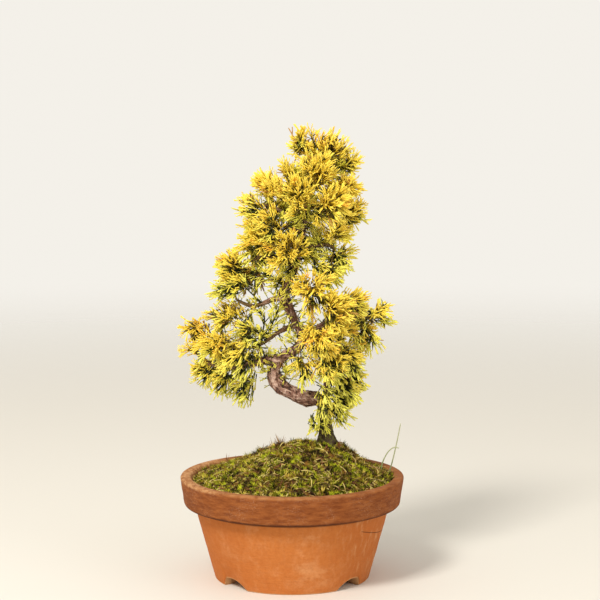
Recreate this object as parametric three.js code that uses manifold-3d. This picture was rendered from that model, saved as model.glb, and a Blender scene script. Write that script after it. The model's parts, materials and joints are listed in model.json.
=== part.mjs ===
// Golden shimpaku juniper bonsai in a round terracotta training pot.
// Units are millimetres, +Z is up and the front faces -Y. The origin is on the pot's axis, at its foot.

import * as THREE from 'three';
import { mergeVertices } from 'three/addons/utils/BufferGeometryUtils.js';
import Module from 'manifold-3d';

const wasm = await Module();
wasm.setup();

// Driving dimensions

const TOUCH_GAP = 0.3; // free space kept between pieces that touch
const WALL_GAP = 1.2 * TOUCH_GAP; // the same, where a faceted wall leans
const JOIN_TOLERANCE = 0.1; // how far joined or cut pieces may be smoothed, to drop slivers
const UP = new THREE.Vector3(0, 0, 1);
const SIDEWAYS = new THREE.Vector3(1, 0, 0);
const FULL_TURN = 2 * Math.PI;

const POT = {
  height: 73.5,
  rimRadius: 80,
  lipInnerRadius: 72.4,
  bandHeight: 20.5,
  bandBaseRadius: 77.3,
  neckRadius: 69.8,
  footRadius: 55,
  footInnerRadius: 46,
  footRecess: 7.5,
  floorTop: 13.5,
  floorRadius: 51,
  drainRadius: 9,
  segments: 36,
};

// Half of each foot arch is a gentle ramp and half is steep, as the potter's wire left it.
const ARCH = { bearing: 46, halfWidth: 11.1, crown: 6.4, steepSide: 4.6, innerRadius: 40, outerRadius: 59 };

const SCREEN = { radius: 14, thickness: 1.2, hole: 4.5, pitch: 6.4, holesAcross: 3, segments: 18 };

// The mound's top stands off the pot's axis, under the trunk.
const MOUND = { x: 12, y: 5, soilEdge: 66.5, soilRise: 25.5, sharpness: 0.7 };
const MOSS = { thickness: 3, relief: 1.3, edgeSink: 0.8 };
const SOIL_GRID = { sectors: 18, rings: 4 };
const MOSS_GRID = { sectors: 35, rings: 8, startAngle: 0.05 };

// Trunk stations: x, y, z, radius. The first three are under the moss.
const TRUNK = [
  [25, 2, 60, 5.0], [25, 2, 74, 7.6], [25, 2, 87, 8.8], [24.9, 2, 95, 7.8], [24.4, 1, 101, 5.7],
  [23.8, 1, 110, 4.5], [23.2, 0, 119, 4.3], [21.5, -1, 126.3, 4.7], [17, -2, 128.8, 5.1],
  [11.5, -3, 128.8, 5.3], [4.9, -4, 130.8, 5.2], [-2.9, -4, 134.6, 5.1], [-9.5, -4, 139.6, 5.3],
  [-12.8, -4, 146, 4.7], [-11.5, -4, 152.5, 3.7], [-7, -3, 158.5, 3.3], [-0.5, -1, 161.8, 3.3],
  [5, 2, 166, 3.3], [7.5, 4, 171.5, 3.3], [6, 5, 177, 3.2], [2.8, 4, 182, 2.9], [-0.5, 2, 189, 3.2],
  [-3.5, 1, 196, 3.7], [-6, 0, 202, 4.0], [-4.5, -1, 208.5, 3.1], [-1.4, -2, 214.5, 2.7],
  [2, -2, 224, 2.9], [4.2, -2, 233, 3.0], [7, 0, 246, 2.7], [5.8, 2, 259, 2.4], [9, 1, 275, 2.2],
  [14, 0, 289, 1.8], [18, 1, 300, 1.5],
];
const BURIED_STATIONS = 4; // the stretches of trunk that the hole in the soil and moss follows
const TRUNK_SIDES = 8;
const LIMB_SIDES = 4;
const TWIG = { sides: 3, radius: 1.3, endRadius: 1.05, pull: 0.3, clear: 2 };

// Limbs, each a list of stations: x, y, z, radius. The first station is inside the trunk or another limb.
const LIMBS = {
  left: [
    [-9, -4, 156, 3.3], [-15, -3, 157, 3.1], [-24, -3, 155, 2.7], [-33, -4, 152.8, 2.3],
    [-46, -4, 152, 1.9], [-58, -3, 154, 1.5], [-66, -1, 159.5, 1.3], [-70, 0, 166, 1.1],
  ],
  left_riser: [[-46, -4, 152, 1.7], [-48, -4, 161, 1.4], [-50, -3, 170, 1.2], [-50, -3, 175, 1.1]],
  left_diagonal: [
    [3, 4, 181, 2.0], [-4, 2, 178.5, 1.9], [-10.7, 1, 175.4, 1.7], [-16, 0, 171.5, 1.5],
    [-21.5, -2, 168, 1.3], [-28, -5, 166, 1.2], [-34, -8, 166, 1.1],
  ],
  left_back: [[-11, -3, 152, 2.2], [-20, 4, 155, 1.8], [-32, 9, 158, 1.4], [-41, 12, 160, 1.1]],
  mid_left: [
    [-6, 0, 201, 2.4], [-14, -1, 199.5, 2.0], [-21, -2, 196.5, 1.7], [-27.7, -2, 194.9, 1.5],
    [-33, -3, 196.5, 1.3], [-38.3, -3, 199, 1.1],
  ],
  mid_left_up: [
    [2, -2, 222, 2.0], [-6, -1, 227, 1.7], [-15, -2, 230, 1.5], [-24, -2, 229, 1.3], [-32, -2, 226, 1.1],
  ],
  mid_front: [[4, -2, 230, 1.8], [1, -6, 230, 1.4], [-2, -10, 230, 1.1]],
  mid_back: [[4, -1, 232, 1.8], [6, 6, 234, 1.5], [8, 12, 235, 1.1]],
  mid_back_left: [[3, -2, 226, 1.7], [-4, 5, 229, 1.4], [-12, 12, 229, 1.2], [-22, 15, 223, 1.1]],
  mid_right: [[4.2, -2, 234, 1.9], [14, 0, 237, 1.6], [24, 2, 238, 1.3], [30, 3, 236, 1.1]],
  right: [
    [7, 4, 172, 3.0], [14, 3, 176, 2.6], [22, 3, 181, 2.3], [32, 2, 186, 1.9],
    [42, 1, 189, 1.6], [52, 1, 188, 1.3], [57, 1, 184, 1.1],
  ],
  right_front: [
    [6, 3, 168, 2.4], [10, -4, 171, 2.0], [15, -10, 174, 1.6], [20, -15, 178, 1.3], [24, -17, 184, 1.1],
  ],
  right_crown: [[-4.5, 0, 205, 2.0], [1, -6, 205, 1.6], [6, -11, 205, 1.3], [11, -14, 205, 1.1]],
  right_back: [[7, 5, 172, 2.2], [16, 10, 176, 1.7], [26, 14, 180, 1.3], [32, 16, 182, 1.1]],
  droop: [
    [22.5, 0, 122, 3.0], [24, 1, 132, 2.4], [24.6, 1, 143, 2.0], [25.2, 0, 152, 1.6],
    [28, -3, 160, 1.3], [30, -6, 165, 1.1],
  ],
  droop_right: [[24.6, 1, 141, 1.8], [31, 2, 147, 1.4], [38, 1, 149, 1.1]],
  upper_left: [[6.8, 1, 250, 2.0], [-2, 1, 258, 1.7], [-12, 0, 264, 1.4], [-21, -1, 267, 1.1]],
  upper_right: [[6.9, 1, 252, 2.0], [16, 1, 259, 1.7], [26, 0, 263, 1.4], [34, 0, 263, 1.1]],
  upper_front: [[6.5, 1, 256, 1.8], [8, -5, 260, 1.5], [10, -11, 263, 1.1]],
  upper_front_left: [[6.4, 0, 245, 1.7], [0, -6, 250, 1.4], [-5, -12, 252, 1.1]],
  upper_back: [[6, 2, 258, 1.8], [8, 8, 261, 1.4], [12, 13, 263, 1.1]],
  apex_right: [[13, 0, 287, 1.5], [21, 1, 291, 1.3], [29, 2, 294, 1.1]],
};

// Foliage sprays: name, centre x, y, z, and how far the shoots reach from the centre.
const SPRAYS = [
  ['apex_tip', 8, 0, 310, 11],
  ['apex_crown', 25, 2, 302, 17],
  ['apex_right', 36, 4, 295, 14],
  ['apex_front', 18, -14, 291, 16],
  ['apex_left', 2, 0, 287, 14],
  ['apex_back', 21, 18, 292, 17],
  ['apex_right_low', 40, -2, 282, 12],
  ['upper_left', -17, 0, 275, 15],
  ['upper_left_tip', -25, -2, 266, 14],
  ['upper_front', 6, -20, 274, 16],
  ['upper_front_right', 25, -18, 269, 16],
  ['upper_right', 37, 0, 262, 16],
  ['upper_back', 6, 22, 265, 19],
  ['upper_left_low', -24, 0, 252, 15],
  ['upper_front_low', -11, -18, 253, 16],
  ['upper_right_low', 33, -8, 250, 12],
  ['upper_back_right', 29, 20, 269, 16],
  ['mid_front', -5, -16, 235, 16],
  ['mid_left', -23, -4, 235, 16],
  ['mid_left_tip', -39, -2, 223, 15],
  ['mid_left_low', -42, -4, 205, 15],
  ['mid_right', 32, 4, 231, 13],
  ['mid_back', 16, 20, 236, 16],
  ['mid_back_left', -17, 20, 233, 16],
  ['mid_right_low', 27, -4, 219, 11],
  ['mid_left_back', -32, 16, 215, 13],
  ['right_crown_front', 14, -20, 206, 17],
  ['right_front', 29, -22, 192, 16],
  ['right_inner', 20, -24, 175, 16],
  ['right_mid', 35, -12, 176, 13],
  ['right_top', 44, 0, 194, 14],
  ['right_tip', 60, 0, 189, 12],
  ['right_low', 53, 2, 174, 13],
  ['right_back', 36, 20, 184, 17],
  ['droop_front', 27, -18, 155, 16],
  ['droop_right', 40, -4, 155, 16],
  ['droop_right_low', 39, -4, 139, 14],
  ['droop_low', 33, -6, 125, 13],
  ['droop_trunk', 23, -14, 126, 12],
  ['droop_back', 36, 16, 145, 15],
  ['droop_foot', 19, -8, 109, 8],
  ['droop_inner', 8, -14, 151, 12],
  ['left_tip', -70, 0, 175, 12],
  ['left_top', -48, -2, 184, 15],
  ['left_mid', -53, -8, 168, 15],
  ['left_inner', -33, -10, 173, 13],
  ['left_front', -37, -14, 157, 16],
  ['left_outer', -60, -2, 149, 13],
  ['left_low', -50, -4, 143, 12],
  ['left_hang', -36, -3, 137, 12],
  ['left_back', -46, 16, 161, 16],
];
const SHADED_SPRAY = /droop|low|hang|inner|back|foot/; // names of the sprays that stay green

// How a spray grows: a short stem, whips from its sides, and side shoots from every facet of both.
const SHOOT = {
  seed: 23,
  seatDistance: 0.62, // from the centre to the twig's end, as a share of the reach
  stemBeyond: 0.35, // how far the stem passes the centre, as a share of the reach
  stemStep: 3.2,
  stemRadius: 1.1,
  stemEndRadius: 0.95,
  stemTwist: 0.4,
  radius: 0.95,
  firstRing: 0.22, // share of the whip's length below its side shoots
  forkRings: 2,
  forkStep: 0.2, // share of the whip's length between the rings that side shoots leave from
  forkReach: [0.48, 0.72], // a side shoot's length as a share of the whip's
  forkLean: 0.85,
  shortest: 5,
  longest: 20,
  outermost: 1.12, // how far a side shoot may reach from the centre, as a share of the reach
  areaPerWhip: 46, // square millimetres of reach squared for each whip
  triesPerFacet: 3,
  triesPerWhip: 4,
  ownClearance: 0.1,
  widest: 79.4, // how far the foliage may stand out from the pot's axis, on X and on Y
};

// Grass stalks stand in plain holes: x, y, z, radius.
const GRASS = {
  grass_stalk_tall: [
    [65.5, 9, 62, 0.5], [68.3, 9, 69, 0.5], [71.6, 8.8, 79, 0.45], [75, 8.4, 94, 0.4], [78, 8, 109.5, 0.35],
  ],
  grass_stalk_arched: [
    [62.5, 2, 62, 0.5], [63.3, 2, 70, 0.5], [64.5, 2, 80.5, 0.45], [68, 1.5, 88.5, 0.4],
    [72.5, 1, 92.7, 0.4], [76.5, 1, 92.3, 0.35],
  ],
};
const GRASS_HOLE_RADIUS = 0.85;

// Materials

function finish(color, roughness, metalness = 0) {
  return new THREE.MeshStandardMaterial({ color, roughness, metalness });
}

const MATERIALS = {
  terracotta: finish(0xb56a3a, 0.85),
  screen: finish(0x2b2b2a, 0.6),
  soil: finish(0x4a3524, 0.95),
  moss: finish(0x6f7f26, 0.95),
  bark: finish(0x6e4636, 0.9),
  goldFoliage: finish(0xe0b22a, 0.6),
  greenFoliage: finish(0xa3a033, 0.6),
  grass: finish(0xb6c08a, 0.7),
};

// Helpers

function seededRandom(seed) {
  let state = seed >>> 0;
  return () => {
    state = (state + 0x6d2b79f5) >>> 0;
    let mixed = Math.imul(state ^ (state >>> 15), state | 1);
    mixed ^= mixed + Math.imul(mixed ^ (mixed >>> 7), mixed | 61);
    return ((mixed ^ (mixed >>> 14)) >>> 0) / 4294967296;
  };
}

const degrees = THREE.MathUtils.degToRad;
const lerp = THREE.MathUtils.lerp;
const clamp = THREE.MathUtils.clamp;

function toSolid(geometry) {
  const bare = geometry.index ? geometry.toNonIndexed() : geometry.clone();
  for (const name of Object.keys(bare.attributes)) {
    if (name !== 'position') bare.deleteAttribute(name);
  }
  const merged = mergeVertices(bare, 1e-4);
  const corners = merged.index.array;
  const kept = [];
  for (let i = 0; i < corners.length; i += 3) {
    const [a, b, c] = [corners[i], corners[i + 1], corners[i + 2]];
    if (a !== b && b !== c && c !== a) kept.push(a, b, c);
  }
  return new wasm.Manifold(new wasm.Mesh({
    numProp: 3,
    vertProperties: new Float32Array(merged.attributes.position.array),
    triVerts: new Uint32Array(kept),
  }));
}

function toGeometry(solid) {
  const mesh = solid.getMesh();
  const geometry = new THREE.BufferGeometry();
  const positions = new Float32Array(mesh.numVert * 3);
  for (let i = 0; i < mesh.numVert; i += 1) {
    for (let k = 0; k < 3; k += 1) positions[3 * i + k] = mesh.vertProperties[i * mesh.numProp + k];
  }
  geometry.setAttribute('position', new THREE.BufferAttribute(positions, 3));
  geometry.setIndex(new THREE.BufferAttribute(new Uint32Array(mesh.triVerts), 1));
  return geometry;
}

function cutAll(solid, cutters) {
  return cutters.reduce((rest, cutter) => rest.subtract(cutter), solid);
}

function joinAll(solids) {
  return solids.reduce((whole, solid) => whole.add(solid));
}

// A closed round solid from a profile of [radius, z], turned about Z.
function lathed(profile, segments, startAngle = 0) {
  const points = profile.map(([radius, z]) => new THREE.Vector2(radius, z));
  return new THREE.LatheGeometry(points, segments, startAngle).rotateX(Math.PI / 2);
}

// A cylinder bent along a smooth path. A station is [x, y, z, radius]; relief(t, angle) scales the radius.
function bentTube(stations, sides, rings, { grow = 0, relief = () => 1 } = {}) {
  const points = stations.map(([x, y, z]) => new THREE.Vector3(x, y, z));
  const path = new THREE.CatmullRomCurve3(points, false, 'centripetal');
  const tube = new THREE.CylinderGeometry(1, 1, 1, sides, rings);
  const frames = [];
  let normal = new THREE.Vector3(0.3, -1, 0.1);
  for (let i = 0; i <= rings; i += 1) {
    const tangent = path.getTangent(i / rings);
    normal = normal.clone().addScaledVector(tangent, -normal.dot(tangent)).normalize();
    const binormal = new THREE.Vector3().crossVectors(normal, tangent);
    frames.push({ centre: path.getPoint(i / rings), normal, binormal });
  }
  const place = tube.attributes.position;
  for (let i = 0; i < place.count; i += 1) {
    const t = place.getY(i) + 0.5;
    const frame = frames[Math.round(t * rings)];
    const at = t * (stations.length - 1);
    const before = Math.min(Math.floor(at), stations.length - 2);
    const radius = lerp(stations[before][3], stations[before + 1][3], at - before);
    const reach = radius * relief(t, Math.atan2(place.getZ(i), place.getX(i))) + grow;
    const moved = frame.centre.clone()
      .addScaledVector(frame.normal, place.getX(i) * reach)
      .addScaledVector(frame.binormal, place.getZ(i) * reach);
    place.setXYZ(i, moved.x, moved.y, moved.z);
  }
  return tube;
}

// Pot

function potProfile() {
  const bandBase = POT.height - POT.bandHeight;
  return [
    [POT.drainRadius, POT.footRecess],
    [POT.footInnerRadius, POT.footRecess],
    [POT.footInnerRadius, 0],
    [POT.footRadius - 0.8, 0],
    [POT.footRadius + 0.2, 1],
    [POT.neckRadius, bandBase],
    [POT.bandBaseRadius - 2.6, bandBase],
    [POT.bandBaseRadius - 0.6, bandBase + 0.9],
    [POT.bandBaseRadius + 0.3, bandBase + 3.2],
    [POT.rimRadius, POT.height - 1.8],
    [POT.rimRadius - 0.5, POT.height - 0.6],
    [POT.rimRadius - 1.8, POT.height],
    [POT.lipInnerRadius + 1.2, POT.height],
    [POT.lipInnerRadius, POT.height - 1],
    [POT.floorRadius, POT.floorTop],
    [POT.drainRadius, POT.floorTop],
    [POT.drainRadius, POT.footRecess],
  ];
}

// The cutter of one foot arch; the steep side is turned away from the front and the back.
function archCutter(bearing, steepSign) {
  const { halfWidth, crown, steepSide } = ARCH;
  const outline = new THREE.Shape();
  outline.moveTo(-steepSign * halfWidth, -1);
  outline.lineTo(-steepSign * halfWidth, 0);
  outline.quadraticCurveTo(-steepSign * 0.35 * halfWidth, crown, steepSign * 0.4 * halfWidth, crown);
  outline.quadraticCurveTo(steepSign * 0.95 * halfWidth, crown, steepSign * halfWidth, steepSide);
  outline.lineTo(steepSign * halfWidth, -1);
  const depth = ARCH.outerRadius - ARCH.innerRadius;
  const cutter = new THREE.ExtrudeGeometry(outline, { depth, bevelEnabled: false, curveSegments: 5 });
  const radial = new THREE.Vector3(Math.sin(bearing), -Math.cos(bearing), 0);
  const tangent = new THREE.Vector3(Math.cos(bearing), Math.sin(bearing), 0);
  const turned = new THREE.Matrix4().makeBasis(tangent, UP, radial);
  turned.setPosition(radial.clone().multiplyScalar(ARCH.innerRadius));
  return toSolid(cutter.applyMatrix4(turned));
}

function makePot() {
  const wall = toSolid(lathed(potProfile(), POT.segments));
  const bearing = degrees(ARCH.bearing);
  const arches = [
    archCutter(bearing, 1), archCutter(-bearing, -1),
    archCutter(Math.PI - bearing, -1), archCutter(Math.PI + bearing, 1),
  ];
  return toGeometry(cutAll(wall, arches));
}

function makeScreen() {
  const disc = new THREE.CylinderGeometry(SCREEN.radius, SCREEN.radius, SCREEN.thickness, SCREEN.segments);
  const middle = (SCREEN.holesAcross - 1) / 2;
  const holes = [];
  for (let row = 0; row < SCREEN.holesAcross; row += 1) {
    for (let column = 0; column < SCREEN.holesAcross; column += 1) {
      const hole = new THREE.BoxGeometry(SCREEN.hole, SCREEN.hole, 2 * SCREEN.thickness);
      hole.translate((column - middle) * SCREEN.pitch, (row - middle) * SCREEN.pitch, 0);
      holes.push(toSolid(hole));
    }
  }
  const screen = cutAll(toSolid(disc.rotateX(Math.PI / 2)), holes);
  return toGeometry(screen.translate(0, 0, POT.floorTop + TOUCH_GAP + SCREEN.thickness / 2));
}

// Soil and moss

function wallRadiusAt(z) {
  const share = (z - POT.floorTop) / (POT.height - 1 - POT.floorTop);
  return lerp(POT.floorRadius, POT.lipInnerRadius, share);
}

// Height of the soil's mound at a point: full at the mound's centre, none at the pot's wall.
function soilHeight(x, y) {
  const wall = wallRadiusAt(MOUND.soilEdge);
  const dx = x - MOUND.x;
  const dy = y - MOUND.y;
  const distance = Math.hypot(dx, dy);
  if (distance < 1e-6) return MOUND.soilEdge + MOUND.soilRise;
  const along = (MOUND.x * dx + MOUND.y * dy) / distance;
  const toWall = -along + Math.sqrt(along ** 2 + wall ** 2 - MOUND.x ** 2 - MOUND.y ** 2);
  const share = Math.min(distance / toWall, 1);
  return MOUND.soilEdge + MOUND.soilRise * (0.5 + 0.5 * Math.cos(Math.PI * share)) ** MOUND.sharpness;
}

function mossHeight(x, y) {
  const cushions = Math.sin(x / 3.3 + 1.1 * Math.sin(y / 5.1)) * Math.cos(y / 2.9 + 0.8 * Math.sin(x / 6.2));
  const hummocks = Math.sin(x / 7.4 + y / 9.3 + 0.7) * Math.cos(y / 8.1 - x / 11.7);
  return soilHeight(x, y) + MOSS.thickness + MOSS.relief * (0.62 * cushions + 0.38 * hummocks);
}

// A round plug with a flat bottom and a top that follows height(x, y), inside the wall by inset.
function groundPlug(height, bottom, inset, { sectors, rings, startAngle }, sink = 0) {
  const edge = wallRadiusAt(MOUND.soilEdge) - inset;
  const profile = [[0, bottom], [wallRadiusAt(bottom) - inset, bottom]];
  for (let ring = rings; ring >= 0; ring -= 1) profile.push([(edge * ring) / rings, POT.height]);
  const plug = lathed(profile, sectors, startAngle);
  const place = plug.attributes.position;
  for (let i = 0; i < place.count; i += 1) {
    if (place.getZ(i) < POT.height - 0.1) continue;
    const x = place.getX(i);
    const y = place.getY(i);
    const share = Math.hypot(x, y) / edge;
    const rise = height(x, y) - sink * share ** 8;
    const spread = share > 0.99 ? (wallRadiusAt(rise) - inset) / edge : 1;
    place.setXYZ(i, x * spread, y * spread, rise);
  }
  return toSolid(plug);
}

function grassHole(stations) {
  const [[x0, y0, z0], [x1, y1, z1]] = stations;
  const above = [2 * x1 - x0, 2 * y1 - y0, 2 * z1 - z0];
  return toSolid(bentTube([
    [x0, y0, z0 - TOUCH_GAP, GRASS_HOLE_RADIUS], [...above, GRASS_HOLE_RADIUS],
  ], 5, 1));
}

function rootFlare(t, angle) {
  const stations = t * (TRUNK.length - 1);
  const flare = clamp(1 - Math.abs(stations - 3) / 2.2, 0, 1);
  return 1 + 0.13 * flare * Math.cos(4 * angle + 0.6) + 0.08 * flare * Math.cos(3 * angle - 1);
}

// The trunk's buried stretch, grown by the touch gap: the plain hole that it stands in.
function trunkHole() {
  const relief = (t, angle) => rootFlare((t * BURIED_STATIONS) / (TRUNK.length - 1), angle);
  const stations = TRUNK.slice(0, BURIED_STATIONS + 1).map((station) => [...station]);
  stations[0][2] -= TOUCH_GAP;
  return toSolid(bentTube(stations, TRUNK_SIDES, BURIED_STATIONS, { grow: 1.3 * TOUCH_GAP, relief }));
}

function makeSoil() {
  const bottom = POT.floorTop + TOUCH_GAP;
  const plug = groundPlug(soilHeight, bottom, WALL_GAP, SOIL_GRID);
  const recess = toSolid(lathed([
    [0, bottom - 1], [SCREEN.radius + TOUCH_GAP, bottom - 1],
    [SCREEN.radius + TOUCH_GAP, bottom + SCREEN.thickness + TOUCH_GAP],
    [0, bottom + SCREEN.thickness + TOUCH_GAP],
  ], SCREEN.segments));
  return toGeometry(cutAll(plug, [recess, trunkHole(), ...Object.values(GRASS).map(grassHole)]));
}

// All that lies under the moss: the soil raised by the touch gap, with an apron that passes the wall.
function belowMoss() {
  const bottom = MOUND.soilEdge - 8;
  const raised = groundPlug((x, y) => soilHeight(x, y) + WALL_GAP, bottom, WALL_GAP, SOIL_GRID);
  const edge = wallRadiusAt(MOUND.soilEdge);
  const top = MOUND.soilEdge + TOUCH_GAP;
  const [inner, outer] = [edge - 2, edge + 4];
  const apron = [[inner, bottom], [outer, bottom], [outer, top], [inner, top], [inner, bottom]];
  return raised.add(toSolid(lathed(apron, SOIL_GRID.sectors)));
}

function makeMoss() {
  const plug = groundPlug(mossHeight, MOUND.soilEdge - 4, WALL_GAP, MOSS_GRID, MOSS.edgeSink);
  const moss = cutAll(plug, [belowMoss(), trunkHole(), ...Object.values(GRASS).map(grassHole)]);
  return toGeometry(moss.asOriginal().simplify(JOIN_TOLERANCE / 2));
}

// Wood

// The nearest point of the trunk and limbs, moved towards the limb's base by a share of its stretch.
function nearestWood(centre, pull = 0) {
  let best = { gap: Infinity };
  for (const stations of [TRUNK.slice(BURIED_STATIONS), ...Object.values(LIMBS)]) {
    for (let i = 1; i < stations.length; i += 1) {
      const start = new THREE.Vector3(...stations[i - 1]);
      const end = new THREE.Vector3(...stations[i]);
      const along = end.clone().sub(start);
      const share = clamp(centre.clone().sub(start).dot(along) / along.lengthSq() - pull, 0, 1);
      const point = start.addScaledVector(along, share);
      const radius = lerp(stations[i - 1][3], stations[i][3], share);
      const gap = point.distanceTo(centre) - radius;
      if (gap < best.gap) best = { gap, point, radius };
    }
  }
  return best;
}

// Where a spray's twig starts and ends, and the direction in which the spray goes on from it.
function seatOf([name, x, y, z, reach]) {
  const centre = new THREE.Vector3(x, y, z);
  const { point, radius } = nearestWood(centre, TWIG.pull);
  const heading = centre.clone().sub(point);
  let away = Math.max(heading.length() - SHOOT.seatDistance * reach, radius + TWIG.clear);
  heading.normalize();
  const seatAt = (distance) => point.clone().addScaledVector(heading, distance);
  while (nearestWood(seatAt(away)).gap < TWIG.clear) away += TOUCH_GAP;
  return { name, centre, reach, root: point, seat: seatAt(away), heading };
}

function twigName(sprayName) {
  return `${sprayName}_twig`;
}

function twigStations({ root, seat }) {
  return [[...root, TWIG.radius], [...seat, TWIG.endRadius]];
}

// Swellings and flutes of the old trunk, strongest at the root flare.
function trunkRelief(t, angle) {
  const swelling = 0.07 * Math.sin(61 * t + 2 * angle) + 0.05 * Math.sin(97 * t - 3 * angle);
  return rootFlare(t, angle) * (1 + (t > BURIED_STATIONS / (TRUNK.length - 1) ? swelling : 0));
}

function makeWood(seats) {
  const trunk = toSolid(bentTube(TRUNK, TRUNK_SIDES, TRUNK.length - 1, { relief: trunkRelief }));
  const limbs = Object.values(LIMBS).map((stations) => (
    toSolid(bentTube(stations, LIMB_SIDES, stations.length - 1))
  ));
  const twigs = seats.map((seat) => toSolid(bentTube(twigStations(seat), TWIG.sides, 1)));
  return toGeometry(joinAll([trunk, ...limbs, ...twigs]).asOriginal().simplify(JOIN_TOLERANCE));
}

// Capsules, for keeping what grows clear of what is there

function capsule(start, end, startRadius, endRadius, owner) {
  const middle = start.clone().lerp(end, 0.5);
  const bound = start.distanceTo(end) / 2 + Math.max(startRadius, endRadius);
  return { start, end, startRadius, endRadius, owner, middle, bound };
}

// Free space between the surfaces of two capsules, below zero where they cross.
function freeSpace(one, other) {
  const u = one.end.clone().sub(one.start);
  const v = other.end.clone().sub(other.start);
  const w = one.start.clone().sub(other.start);
  const [a, b, c, d, e] = [u.dot(u), u.dot(v), v.dot(v), u.dot(w), v.dot(w)];
  const spread = a * c - b * b;
  let s = spread > 1e-9 ? clamp((b * e - c * d) / spread, 0, 1) : 0;
  const t = clamp((b * s + e) / c, 0, 1);
  s = clamp((b * t - d) / a, 0, 1);
  const gap = w.addScaledVector(u, s).addScaledVector(v, -t).length();
  return gap - lerp(one.startRadius, one.endRadius, s) - lerp(other.startRadius, other.endRadius, t);
}

class Obstacles {
  constructor() {
    this.capsules = [];
  }

  addPath(stations, owner, swell = 1) {
    for (let i = 1; i < stations.length; i += 1) {
      const [start, end] = [stations[i - 1], stations[i]];
      this.capsules.push(capsule(
        new THREE.Vector3(...start), new THREE.Vector3(...end), start[3] * swell, end[3] * swell, owner,
      ));
    }
  }

  // True where every piece keeps its distance from what is there, apart from what it grows from.
  clears(pieces, owner) {
    for (const piece of pieces) {
      for (const other of this.capsules) {
        const own = other.owner === owner;
        if (own && (piece.base || other.base)) continue;
        if (piece.seatedOn === other.owner) continue;
        const needed = own ? SHOOT.ownClearance : TOUCH_GAP;
        if (piece.middle.distanceTo(other.middle) > piece.bound + other.bound + needed) continue;
        if (freeSpace(piece, other) < needed) return false;
      }
    }
    return true;
  }
}

function inBounds(point) {
  const clearOfMoss = point.z > mossHeight(point.x, point.y) + 2;
  return clearOfMoss && Math.abs(point.x) < SHOOT.widest && Math.abs(point.y) < SHOOT.widest;
}

// Foliage: a closed skin that shoots are raised from, one facet at a time

// Two directions across an axis, right-handed with it.
function sectionAxes(axis) {
  const u = new THREE.Vector3().crossVectors(axis, Math.abs(axis.z) < 0.9 ? UP : SIDEWAYS).normalize();
  return [u, new THREE.Vector3().crossVectors(axis, u)];
}

// Three corners about a centre, counter-clockwise seen from where the axis points.
function ringAbout(centre, axis, radius, firstAngle = 0) {
  const [u, v] = sectionAxes(axis);
  return [0, 1, 2].map((k) => {
    const angle = firstAngle + (k * FULL_TURN) / 3;
    const out = u.clone().multiplyScalar(Math.cos(angle)).addScaledVector(v, Math.sin(angle));
    return centre.clone().addScaledVector(out, radius);
  });
}

class Skin {
  constructor(ring) {
    this.points = [...ring];
    this.faces = [[2, 1, 0]];
    this.front = this.addFace(0, 1, 2);
  }

  addFace(a, b, c) {
    this.faces.push([a, b, c]);
    return this.faces.length - 1;
  }

  corners(face) {
    return this.faces[face].map((index) => this.points[index]);
  }

  facet(face) {
    const [a, b, c] = this.corners(face);
    const centre = a.clone().add(b).add(c).divideScalar(3);
    const normal = new THREE.Vector3().crossVectors(b.clone().sub(a), c.clone().sub(a)).normalize();
    return { centre, normal };
  }

  // A three-cornered ring about a new centre, turned so that it leaves the facet without a twist.
  ringFrom(face, centre, axis, radius, twist = 0) {
    const middle = this.facet(face).centre;
    const [u, v] = sectionAxes(axis);
    let [along, across] = [0, 0];
    this.corners(face).forEach((corner, k) => {
      const offset = corner.clone().sub(middle);
      const angle = Math.atan2(offset.dot(v), offset.dot(u)) - (k * FULL_TURN) / 3;
      along += Math.cos(angle) * offset.length();
      across += Math.sin(angle) * offset.length();
    });
    return ringAbout(centre, axis, radius, Math.atan2(across, along) + twist);
  }

  // Raises a facet to a ring. The new front is remembered, and the side facets are returned.
  extend(face, ring) {
    const base = this.faces[face];
    const top = ring.map((point) => this.points.push(point) - 1);
    const sides = [];
    for (let k = 0; k < 3; k += 1) {
      const next = (k + 1) % 3;
      sides.push(this.addFace(base[k], base[next], top[next]), this.addFace(base[k], top[next], top[k]));
    }
    this.faces[face] = top;
    return sides;
  }

  // Raises a facet to a point.
  spike(face, tip) {
    const [a, b, c] = this.faces[face];
    const point = this.points.push(tip) - 1;
    this.faces[face] = [a, b, point];
    this.addFace(b, c, point);
    this.addFace(c, a, point);
  }

  save() {
    return { points: this.points.length, faces: [...this.faces] };
  }

  restore(saved) {
    this.points.length = saved.points;
    this.faces = saved.faces;
  }

  // True where an edge of one facet passes through another that has neither of its ends.
  pierces(one, other) {
    const ends = this.faces[one];
    return ends.some((start, k) => {
      const end = ends[(k + 1) % 3];
      if (this.faces[other].includes(start) || this.faces[other].includes(end)) return false;
      const edge = this.points[end].clone().sub(this.points[start]);
      const ray = new THREE.Ray(this.points[start], edge);
      const hit = ray.intersectTriangle(...this.corners(other), false, new THREE.Vector3());
      return hit !== null && hit.distanceTo(this.points[start]) <= edge.length();
    });
  }

  // True where a facet raised since the skin was saved crosses any facet.
  crossesSince(saved) {
    const boxes = this.faces.map((_, face) => new THREE.Box3().setFromPoints(this.corners(face)));
    return this.faces.some((fresh, one) => (
      fresh.some((index) => index >= saved.points) && boxes.some((box, other) => (
        box.intersectsBox(boxes[one]) && (this.pierces(one, other) || this.pierces(other, one))
      ))
    ));
  }

  geometry() {
    const geometry = new THREE.BufferGeometry().setFromPoints(this.points);
    return geometry.setIndex(this.faces.flat());
  }
}

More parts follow.
